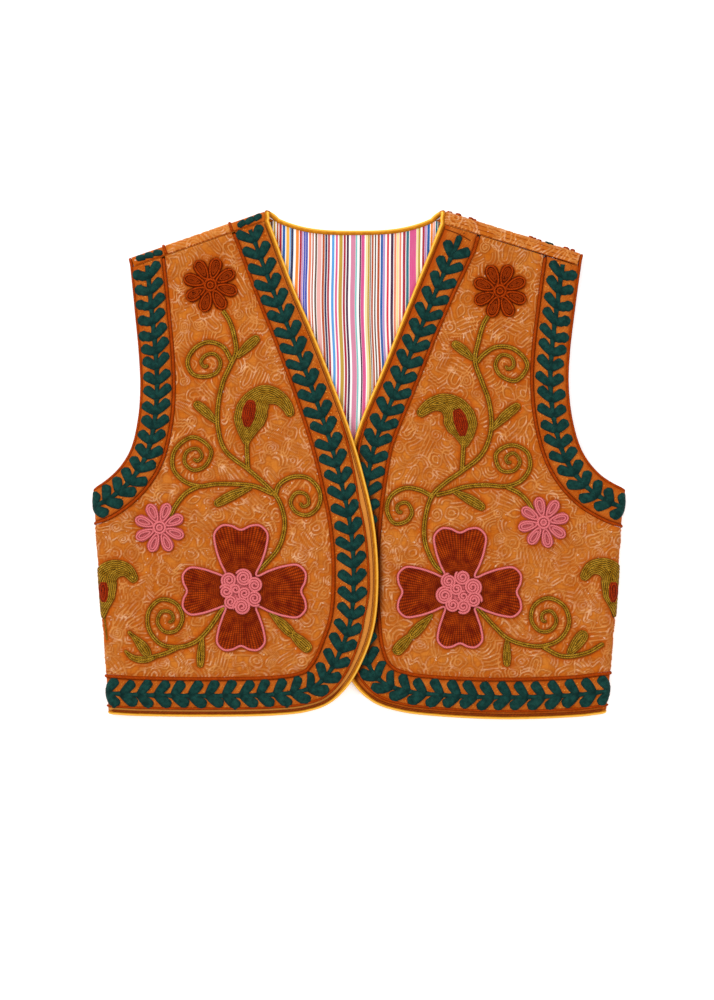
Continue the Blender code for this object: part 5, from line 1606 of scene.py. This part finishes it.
rise = np.linspace(0, 1, LINING_ROWS)[:, None]
low = back_hem_up(edges) + hem_gap
up = low + (lining_top(edges) - low) * rise
drift = 0.9 * np.sin(up / 41.0) + 0.5 * np.sin(up / 17.0 + edges / 60.0)
x = edges + drift * ease(rise * 8) * ease((1 - rise) * 8)
swell = 0.5 * np.sin(up / 23.0 + x / 31.0) * np.sin(x / 27.0) + 0.3
sewing = Sewing("striped_back_lining", "left")
sewing.patch(x, up, LINING_LOW + LINING + np.maximum(swell, 0) * 0.5, lay_lining)
piece = sewing.done(lining, ["back_lining"], 60, closed=False)
kinds = piece.data.attributes.new("thread", "FLOAT", "FACE")
kinds.data.foreach_set("value", np.tile(threads + 0.5, LINING_ROWS - 1).astype(np.float32))
solid_cloth(piece, LINING)

# %% [markdown]
# ## Vines
# Dark green leaves grow in pairs from a stem. Each leaf is padded and covered with fuzzy thread, so it
# is a small domed grid. There are hundreds, so each has only a few dozen faces, and none is quite like
# the next. They are placed in strip coordinates, along and beside the band's middle line.

# %% Vines
vine, tree, shader = cloth_material("dark_green_wool_thread", 0.9, 0.06)
# Wool thread: dull and slightly hairy, so it takes light softly, with painted shade in its hollows,
# along the edges and at the bases of the leaves and along the stem.
WOOL_THREAD = 1.15
place = node(tree, "TexCoord", out="Object")
hair = {"Vector": place, "Scale": METRE / 0.9, "Detail": 3.0, "Roughness": 0.7}
hair = node(tree, "TexNoise", hair)
worn = blotches(tree, place, 5.0, 3.0, 0.6, 0.35, 0.70)
tone = node(tree, "Mix", {0: worn, 6: colour("#0C322E"), 7: colour("#20544C")}, **COLOURS)
fuzz = node(tree, "MapRange", {0: hair, 1: 0.35, 2: 0.65})
tone = tinted_between(tree, tone, fuzz, "#061A18", 0.3)
across = node(tree, "Attribute", out="Fac", attribute_name="thread")
threads = ribbed(tree, across, WOOL_THREAD, -1.0, 0.2)
tone = tinted_between(tree, tone, threads, "#051614", 0.72)
tone = tinted(tree, tone, node(tree, "Attribute", out="Fac", attribute_name="hollow"), "#07201E")
grit = node(tree, "Math", {0: threads, 1: hair}, operation="ADD")
finish_cloth(tree, shader, tone, grit, 0.5, 0.5)

Leaf = namedtuple("Leaf", "length tilt width lumps", defaults=(0.0,))
Vine = namedtuple("Vine", "pitch stem inner outer hem_inner hem_outer crown")
EDGE_VINE = Vine(
    pitch=17.2,
    stem=6.2,
    inner=Leaf(20.5, 48, 9.6),
    outer=Leaf(18.6, 42, 9.6),
    hem_inner=Leaf(19.2, 54, 10.0),
    hem_outer=Leaf(19.4, 37, 10.4),
    crown=Leaf(18.6, 42, 9.6),
)
ARMHOLE_VINE = Vine(
    pitch=15.6,
    stem=6.8,
    inner=Leaf(19.2, 44, 9.0),
    outer=Leaf(16.4, 54, 10.2),
    hem_inner=Leaf(18.4, 46, 9.8),
    hem_outer=Leaf(17.2, 50, 10.2),
    crown=Leaf(16.6, 74, 10.0, 1.0),
)
VINE_TURN = 1.75  # how far round the side fold a vine goes, in radians
VINE_DROP = {"right": 3.0, "left": 16.5}  # from the shoulder seam to the first leaf
VINE_TIP = Leaf(19.5, 4, 6.2)
LEAF_RISE = 2.1
LEAF_SHAPE = ((0, 0.60), (0.25, 0.88), (0.5, 1.02), (0.75, 1.06), (1, 1.02))  # place and width


def leaf_of(vine_cut, inner, level, high):
    """The leaf for a side of the stem. level is 1 where the vine lies level, high 1 by the shoulder."""
    steep = np.array(vine_cut.inner if inner else vine_cut.outer)
    crown = steep if inner else np.array(vine_cut.crown)
    flat = np.array(vine_cut.hem_inner if inner else vine_cut.hem_outer)
    return Leaf(*((1 - level) * ((1 - high) * steep + high * crown) + level * flat))


def add_leaf(sewing, line, s0, grow, way, leaf, rng):
    """One domed leaf beside the stem. way is +1 or -1, the side it grows on."""
    t = np.linspace(0, 1, 11)
    length = leaf.length * rng.uniform(0.95, 1.03)
    tilt = math.radians(leaf.tilt + rng.uniform(-5, 5))
    ahead = length * math.cos(tilt) * (1.06 * t - 0.06 * t**2)
    away = length * math.sin(tilt) * (0.94 * t + 0.06 * t**2)
    knots = np.stack([s0 + grow * ahead, grow * way * away], 1)
    widths = np.interp(t, *np.transpose(LEAF_SHAPE)) * leaf.width * rng.uniform(0.95, 1.04)
    widths *= 1 + 0.09 * leaf.lumps * np.cos(6 * math.pi * (t - 1)) * ease(t / 0.4)
    strip_points, edge, along, off = stroke_grid(knots, widths, 1.7, 7, 0.0, 0.85)
    flat = line.beside(strip_points[..., 0], strip_points[..., 1])
    height = raised(edge, LEAF_RISE * rng.uniform(0.92, 1.05), 3.0)
    height *= 1 - 0.16 * leaf.lumps * (1 - np.cos(6 * math.pi * along / length))
    # Painted shade along the leaf's edge and at its base.
    hollow = ease(1 - edge / 1.1) * 0.8 + 0.8 * ease(1 - along / 4.5)
    sewing.patch(flat[..., 0], flat[..., 1], height, hollow=np.clip(hollow, 0, 1), thread=off)


def add_vine(kind, side, line, start, end, vine_cut, tip):
    name = f"{kind}_leaf_vine_{side}"
    rng = np.random.default_rng(len(name) * 7 + (side == "left"))
    grow = 1 if end > start else -1
    count = int(abs(end - start) // vine_cut.pitch)
    pitch = (abs(end - start) - 14) / count
    sewing = Sewing(name, side)
    for k in range(count + 1):
        s0 = start + grow * (1.5 + k * pitch)
        level = float(ease((abs(line.heading(s0)[0]) - 0.5) / 0.4))
        for way in (1.0, -1.0):
            high = float(ease((line.at(s0)[1] - 345) / 40))
            leaf = leaf_of(vine_cut, grow * way > 0, level, high)
            add_leaf(sewing, line, s0, grow, way, leaf, rng)
    if tip:
        add_leaf(sewing, line, end - grow * 9, grow, -1.0, tip, rng)
    s = np.linspace(start, end, round(abs(end - start) / 2.0) + 1)
    beat = 0.5 + 0.5 * np.cos(2 * math.pi * (np.abs(s - start) - 3.5) / pitch)
    v = np.sin(np.linspace(-math.pi / 2, math.pi / 2, 6))
    half = vine_cut.stem / 2 * (0.66 + 0.34 * beat)
    flat = line.beside(s[:, None] + 0 * v, half[:, None] * v)
    edge = half[:, None] * (1 - np.abs(v))
    rise = raised(edge, 1.6, 1.8)
    rise[[0, -1]] = 0
    # Painted shade along the stem's sides.
    hollow = ease(1 - edge / 0.8) * 0.8
    sewing.patch(flat[..., 0], flat[..., 1], rise, hollow=hollow, thread=half[:, None] * v)
    sewing.done(vine, [f"{kind}_vine_{side}"], 60)


for side in SIDES:
    edge_line = EDGE[side].offset((band_width(side) + 2 * BINDING_R) / 2)
    armhole_line = ARMHOLE[side].offset(ARMHOLE_BAND[side] / 2)
    edge_tip = VINE_TIP if side == "left" else None
    for kind, line, vine_cut, drop, tip in (
        ("front", edge_line, EDGE_VINE, VINE_DROP[side], edge_tip),
        ("armhole", armhole_line, ARMHOLE_VINE, 3.0, None),
    ):
        start = rolled_reach(line, side, VINE_TURN)
        end = seam_reach(line, side, SEAM_DROP[side] + drop)
        add_vine(kind, side, line, start, end, vine_cut, tip)

# %% [markdown]
# ## Olive stems, leaves, scrolls and paisleys
# Chain stitch lies in rows that follow the outline, and dark stitches peep between them. The rows are
# in the shape, from the distance to the edge, and the links of the chain are in the material, from
# the length along the stroke.

# %% Chain stitch
ROW = 1.9  # width of a row of chain stitch
LINK = 2.4  # length of one link


def stitch_material(name, light, middle, dark, gap):
    """Rows of chain stitch, from the values edge and along, in millimetres."""
    made, tree, shader = cloth_material(name, 0.8, 0.04)
    place = node(tree, "TexCoord", out="Object")
    edge = node(tree, "Attribute", out="Fac", attribute_name="edge")
    along = node(tree, "Attribute", out="Fac", attribute_name="along")
    row = node(tree, "Math", {0: edge, 1: 2 * math.pi / ROW}, operation="MULTIPLY")
    between = node(tree, "Math", {0: row}, operation="COSINE")
    between = node(tree, "MapRange", {0: between, 1: 0.0, 2: 1.0})
    link = node(tree, "Math", {0: along, 1: 2 * math.pi / LINK}, operation="MULTIPLY")
    link = node(tree, "Math", {0: link, 1: row}, operation="ADD")
    link = node(tree, "Math", {0: link}, operation="SINE")
    beads = node(tree, "MapRange", {0: link, 1: -1.0, 2: 0.5})
    cells = node(tree, "TexVoronoi", {"Vector": place, "Scale": METRE / ROW}, out="Distance")
    cells = node(tree, "MapRange", {0: cells, 1: 0.75, 2: 0.35})
    worn = blotches(tree, place, 5.0, 3.0, 0.6, 0.34, 0.70)
    tone = node(tree, "Mix", {0: worn, 6: colour(middle), 7: colour(light)}, **COLOURS)
    tone = tinted_between(tree, tone, beads, dark, 0.5)
    tone = tinted_between(tree, tone, cells, dark, 0.25)
    tone = tinted(tree, tone, between, dark, 0.85)
    specks = blotches(tree, place, 3.0, 1.0, 0.5, 0.46, 0.54)
    gaps = node(tree, "Math", {0: between, 1: specks}, operation="MULTIPLY")
    tone = tinted(tree, tone, gaps, gap)
    grit = node(tree, "Math", {0: beads, 1: cells}, operation="ADD")
    finish_cloth(tree, shader, tone, grit, 0.6, 0.5)
    return made


olive = stitch_material("olive_chain_stitch", "#CC9A2C", "#986606", "#3A2202", "#160C00")
brick = stitch_material("brick_chain_stitch", "#B03404", "#962602", "#581402", "#380A02")


def add_stroke(sewing, stroke, rise=2.1):
    """One stem, leaf, scroll or paisley of a front, in rows of stitches."""
    widths = SHAPES[stroke.shape]
    columns = 2 * round(max(widths) / 1.1) + 1
    start_round = 0.0 if stroke.shape in ("stem", "scroll", "side_thread") else 0.6
    flat, edge, along, _ = stroke_grid(stroke.knots, widths, 1.5, columns, start_round, 1.0)
    if start_round == 0.0:
        share = edge / np.maximum(edge.max(axis=1, keepdims=True), 0.4)
        height = raised(edge, rise, 1.1) - 0.5 * ease((share - 0.6) / 0.4)
        edge = share * ROW
    else:
        height = raised(edge, rise, 1.3, ROW, 0.45)
    if stroke.shape.startswith("side"):
        last = fold_start(sewing.side, flat[..., 1]) + VINE_TURN * FOLD_R
        height = height * ease((last - flat[..., 0]) / 2)
        flat[..., 0] = np.minimum(flat[..., 0], last)
    sewing.patch(flat[..., 0], flat[..., 1], height, edge=edge, along=along)


SHAPES["paisley_heart"] = (6.0, 13.5, 14.0, 8.0)
SHAPES["side_heart"] = (4.0, 9.0, 10.0, 6.0)
PAISLEY_HEART = {
    "right": Stroke("paisley_heart", ((110, 290), (108.5, 304), (105, 319))),
    "left": Stroke("paisley_heart", ((106, 281), (104, 295), (99, 310))),
}
for side in SIDES:
    for name, strokes in (
        ("upper_stems_", UPPER_STROKES[side]),
        ("lower_stems_", LOWER_STROKES[side]),
        ("low_leaf_", LOW_LEAF[side]),
        ("side_paisley_", side_strokes(side)),
    ):
        sewing = Sewing("stitched_" + name + side, side)
        for stroke in strokes:
            add_stroke(sewing, stroke)
        sewing.done(olive, [name + side], 60)
    sewing = Sewing("paisley_hearts_" + side, side)
    add_stroke(sewing, PAISLEY_HEART[side], 2.9)
    add_stroke(sewing, from_fold(side, "side_heart", ((2, 115), (2, 126), (1, 137))), 2.9)
    sewing.done(brick, (), 60)

# %% [markdown]
# ## Looped flowers
# The small flowers are loops of cord laid side by side: an outline, another loop inside it, and a ring
# in the middle. A padded petal under them hides the ground.

# %% Rust and pink flowers
rust_cord = cord_material(
    "rust_looped_cord", "#C04404", "#3E0A00", 1.6, 0.8, 0.0, speck="#300A00", spread=0.35
)
pink_cord = cord_material("pink_looped_cord", "#EA8284", "#9A2C32", 1.6, 0.8, 0.02, spread=0.15)


def petal_loop(flower, k, near, far, half):
    """A closed loop for one petal, from near to far along its axis."""
    t = np.linspace(0, 2 * math.pi, 37)[:-1]
    axis = petal_axis(flower, k)
    beside = np.array([-axis[1], axis[0]])
    run = (near + far) / 2 + (far - near) / 2 * np.cos(t)
    off = half * np.sin(t) * (0.80 + 0.24 * np.cos(t))
    return np.array([flower.out, flower.up]) + run[:, None] * axis + off[:, None] * beside


def ring_points(centre, reach):
    t = np.linspace(0, 2 * math.pi, 29)[:-1]
    return centre + reach * np.stack([np.cos(t), np.sin(t)], 1)


FlowerLook = namedtuple("FlowerLook", "cord slot deep insets")
FLOWER_LOOKS = {  # insets says how far in each loop of a petal lies from its edge
    "rust_flower": FlowerLook(rust_cord, "brick", 0.30, (1.2, 3.8, 5.7)),
    "pink_flower": FlowerLook(pink_cord, "pink", 0.10, (1.1, 3.5)),
}
for flower in FLOWERS:
    look = FLOWER_LOOKS[flower.name]
    sewing = Sewing(f"looped_{flower.name}_{flower.side}", flower.side)
    middle = np.array([flower.out, flower.up])
    # The padded petals and the middle are darkened through around and shade, as painted shade where they
    # show between the loops; shade also makes the inner loops darker than the outline.
    for k in range(PETALS):
        flat, edge, along, _ = stroke_grid(*petal_stroke(flower, k), 1.7, 9, 0.0, 0.8)
        height = raised(edge, 1.5, 1.2)
        sewing.patch(flat[..., 0], flat[..., 1], height, along=along, around=0.75, shade=look.deep)
        for inset in look.insets:
            loop = petal_loop(flower, k, 5.0 + inset * 1.6, flower.reach - inset, flower.half - inset)
            path = laid_path(flower.side, loop, 1.5 if inset < 2 else 1.7)
            rolled_cord(sewing, path, 1.2, sides=7, closed=True, shade=0.0 if inset < 2 else look.deep)
    for reach, radius, high in ((5.6, 1.5, 2.0), (2.6, 1.3, 2.2)):
        path = laid_path(flower.side, ring_points(middle, reach), high)
        rolled_cord(sewing, path, radius, sides=7, closed=True, shade=0.0)
    knots = np.stack([middle - (6.0, 0), middle + (6.0, 0)])
    flat, edge, along, _ = stroke_grid(knots, (11.0, 11.0), 1.5, 9, 0.9, 0.9)
    height = raised(edge, 2.0, 1.5)
    sewing.patch(flat[..., 0], flat[..., 1], height, along=along, around=0.3, shade=look.deep)
    sewing.done(look.cord, [f"{flower.name}_{flower.side}"], 60)

# %% [markdown]
# ## The big flowers
# Four heart-shaped petals are worked in dark red thread, knitted in rows that fan out from the middle.
# The surface is a grid in turn and reach about the flower's centre, so its rows and columns already
# run the way the stitches do. A pink cord goes round the petals, and coils of it fill the heart.

# %% Ribbed petals and their cord
rib, tree, shader = cloth_material("dark_red_knitted_thread", 0.85, 0.04)
# Knitted wool: rows of small loops crossed by radial ribs, each groove dark.
place = node(tree, "TexCoord", out="Object")
worn = blotches(tree, place, 9.0, 3.0, 0.6, 0.34, 0.68)
tone = node(tree, "Mix", {0: worn, 6: colour("#7E1C00"), 7: colour("#BC4404")}, **COLOURS)
waves = []
for name, code, share in (("rows", "#440C00", 0.6), ("fan", "#3E0A00", 0.75)):
    counted = node(tree, "Attribute", out="Fac", attribute_name=name)
    waves.append(ribbed(tree, counted, 1.0, -1.0, 0.3))
    tone = tinted_between(tree, tone, waves[-1], code, share)
knit = node(tree, "Math", {0: waves[1], 1: waves[0]}, operation="MULTIPLY")
finish_cloth(tree, shader, tone, knit, 0.7, 0.7)


def petal_knots(flower):
    """Corners of the flower's outline, a quarter for each petal."""
    turns = np.concatenate([-column(PETAL_ROWS, "angle")[:0:-1], column(PETAL_ROWS, "angle")[:-1]])
    found = []
    for k in range(4):
        turn = np.radians(90 * k + turns)
        reach = petal_reach(flower, turn + 1e-6)
        reach[np.abs(turns) == 45] = PETAL_ROWS[-1].share * np.mean(flower.reaches)
        found.append(np.stack([flower.out + reach * np.cos(turn), flower.up + reach * np.sin(turn)], 1))
    return np.vstack(found)


def closed_smooth(knots, step):
    """A smooth closed line through the knots."""
    wrapped = np.vstack([knots[-2:], knots, knots[:3]])
    line = Line(smooth(wrapped, 0.5))
    start = line.reach[np.argmin(np.linalg.norm(line.points[:400] - knots[0], axis=1))]
    ends = np.linalg.norm(line.points - knots[0], axis=1)
    ends[line.reach < line.length / 2] = 1e9
    end = line.reach[np.argmin(ends)]
    return line.at(np.linspace(start, end, round((end - start) / step) + 1)[:-1])


RIB_TURN = 3.0  # degrees between ribs
KNIT_ROW = 1.9  # from one row of knitting to the next
for side in SIDES:
    flower = BIG_FLOWER[side]
    outline = closed_smooth(petal_knots(flower), 1.0)
    seen = outline - (flower.out, flower.up)
    angle = np.degrees(np.arctan2(seen[:, 1], seen[:, 0])) % 360
    order = np.argsort(angle)
    reach_at = np.linalg.norm(seen, axis=1)[order]
    turn = np.arange(0, 361.0, 1.0)
    reach = np.interp(turn, angle[order], reach_at, period=360)
    r = 6 + (reach - 6) * np.linspace(0, 1, 44)[:, None]
    out = flower.out + r * np.cos(np.radians(turn))
    up = flower.up + r * np.sin(np.radians(turn))
    off = np.abs((turn + 45) % 90 - 45)
    edge = np.minimum(reach - r, r * np.radians(np.abs(45 - off)) + 0.6)
    height = raised(edge, 1.9, 2.6) + 0.15 * np.sin(2 * math.pi * r / KNIT_ROW) * ease(edge / 3)
    sewing = Sewing("ribbed_big_flower_" + side, side)
    fan = turn / RIB_TURN + 0 * r
    rows = r / KNIT_ROW + 0.4 * np.cos(np.radians(off * 4))
    sewing.patch(out, up, height, fan=fan, rows=rows)
    sewing.done(rib, ["big_flower_" + side], 60)

    sewing = Sewing("pink_petal_cord_" + side, side)
    inward = Line(np.vstack([outline, outline[:1]])).offset(0.9).points[:-1]
    rolled_cord(sewing, laid_path(side, inward, 1.6), 1.25, sides=8, closed=True)
    sewing.done(pink_cord, (), 80)

# %% [markdown]
# Each coil of the heart is one cord, wound from its rim to a small dark eye.

# %% Coils of the heart
Coil = namedtuple("Coil", "off turn reach")
COILS = (  # from the flower's middle: how far, at what angle, and each coil's size
    Coil(16.0, 135, 9.0),
    Coil(13.6, 80, 9.8),
    Coil(15.0, 24, 8.8),
    Coil(15.5, 328, 9.0),
    Coil(15.6, 274, 10.0),
    Coil(14.6, 224, 8.4),
    Coil(14.6, 180, 8.4),
    Coil(4.6, 330, 7.4),
    Coil(5.4, 160, 6.6),
)
for side in SIDES:
    flower = BIG_FLOWER[side]
    middle = np.array([flower.out, flower.up])
    rng = np.random.default_rng(5 if side == "right" else 8)
    sewing = Sewing("coiled_flower_heart_" + side, side)
    knots = np.stack([middle - (17.0, 0), middle + (17.0, 0)])
    flat, edge, along, _ = stroke_grid(knots, (34.0, 34.0), 2.0, 17, 1.0, 1.0)
    # The heart's padding and each coil's padding are darkened through around, as painted shade where
    # they show between the turns.
    sewing.patch(flat[..., 0], flat[..., 1], raised(edge, 2.6, 2.5), along=along, around=0.62)
    for coil in COILS:
        turn = math.radians(coil.turn + (0 if side == "right" else 76) + rng.uniform(-4, 4))
        at = middle + coil.off * np.array([-math.cos(turn), math.sin(turn)])
        t = np.linspace(0, 1, 64)
        wind = 2 * math.pi * (coil.reach - 1.3) / 2.9 * t + rng.uniform(0, 6)
        r = (coil.reach - 1.2) * (1 - 0.88 * t)
        wound = at + r[:, None] * np.stack([np.cos(wind), np.sin(wind)], 1)
        high = 3.0 + rng.uniform(0, 0.5) + (0.5 if coil.off < 6 else 0)
        rolled_cord(sewing, laid_path(side, wound, high + 0.5 * t), 1.4, sides=7)
        knots = np.stack([at - (coil.reach * 0.5, 0), at + (coil.reach * 0.5, 0)])
        flat, edge, along, _ = stroke_grid(knots, (coil.reach * 1.7, coil.reach * 1.7), 1.5, 9, 0.6, 0.6)
        sewing.patch(flat[..., 0], flat[..., 1], raised(edge, high - 0.3, 1.5), along=along, around=0.72)
    sewing.done(pink_cord, ["flower_heart_" + side], 60)

# %% [markdown]
# ## Over the shoulders
# Rows of stitches hold each shoulder seam. On the wearer's right, the two bands and their leaves go on
# over the fold, so the last leaves of the back show beside it. They are laid by the back's function.


# %% Shoulder stitches, and leaves that come over the fold
def over_shoulder(side, along, past):
    """Pattern points of the back beyond the shoulder fold, in table x and up."""
    neck_point, way, across = shoulder_frame(side)
    along, past = np.asarray(along, float)[..., None], np.asarray(past, float)[..., None]
    flat = neck_point + along * way + past * across
    return SIGN[side] * flat[..., 0], flat[..., 1]


SEAM_PAST = {side: (math.pi - 2) * FOLD_R + SEAM_DROP[side] for side in SIDES}
STITCH_ROWS = {"right": ((1.2, 0.4),), "left": ((1.2, 0.35), (5.2, 0.25), (9.4, 0.22))}
LEAVES_OVER = (  # where each leaf starts and ends: along the shoulder, and from the seam
    ((31, 3.2), (21, 6.4)),
    ((23, 3.6), (12, 7.0)),
    ((14, 4.6), (4, 7.5)),
    ((110, 3.0), (120, 6.4)),
    ((119, 3.6), (129, 7.0)),
    ((127, 4.4), (138, 6.8)),
)
LEAF_PEEPING = ((104, 3.4), (114, 0.6))  # the leaf past the other shoulder, from its fold
Blob = namedtuple("Blob", "at long")
BLOBS_OVER = (Blob(5, 6), Blob(14, 6), Blob(29, 9), Blob(92, 9), Blob(99, 5), Blob(127, 7), Blob(134, 4))
for side in SIDES:
    length = np.linalg.norm(np.array(SHOULDER_TIP[side]) - np.array(NECK_POINT[side]))
    sewing = Sewing("shoulder_stitches_" + side, side)
    for row, thick in STITCH_ROWS[side]:
        x, up = over_shoulder(side, np.linspace(6, length - 4, 60), np.full(60, SEAM_PAST[side] - row))
        rolled_cord(sewing, lay_table(None, x, up, np.full(60, 0.1)), thick, sides=6)
    sewing.done(rust, (), 80)
    sewing = Sewing("piping_over_shoulder_" + side, side)
    if side == "right":
        for at in (37.5, length - 36.5):
            past = np.linspace(SEAM_PAST[side] - 0.6, 1.0, 12)
            x, up = over_shoulder(side, np.full(12, at), past)
            rolled_cord(sewing, lay_table(None, x, up, np.full(12, 0.3)), PIPING_R, sides=7)
    else:
        for blob in BLOBS_OVER:
            along = np.linspace(blob.at - blob.long / 2, blob.at + blob.long / 2, 8)
            x, up = over_shoulder(side, along, np.full(8, 0.6) + 0.9 * np.sin(along))
            rolled_cord(sewing, lay_table(None, x, up, np.full(8, 0.6)), 2.5, sides=7)
    sewing.done(rust, (), 80)

sewing = Sewing("leaves_over_shoulder", "right")
for start, end in (*LEAVES_OVER, LEAF_PEEPING):
    over = "left" if start == LEAF_PEEPING[0] else "right"
    knots = np.array([start, ((start[0] + end[0]) / 2, (start[1] + end[1]) / 2 + 0.8), end])
    flat, edge, along, off = stroke_grid(knots, (4.5, 6.5, 7.0, 5.5), 1.5, 7, 0.6, 0.7)
    past = flat[..., 1] if over == "left" else SEAM_PAST[over] - flat[..., 1]
    x, up = over_shoulder(over, flat[..., 0], past)
    # Painted shade along each leaf's edge.
    sewing.patch(x, up, raised(edge, 1.7, 2.2), lay_table, hollow=0.8 * ease(1 - edge / 1.0), thread=off)
sewing.done(vine, (), 60)
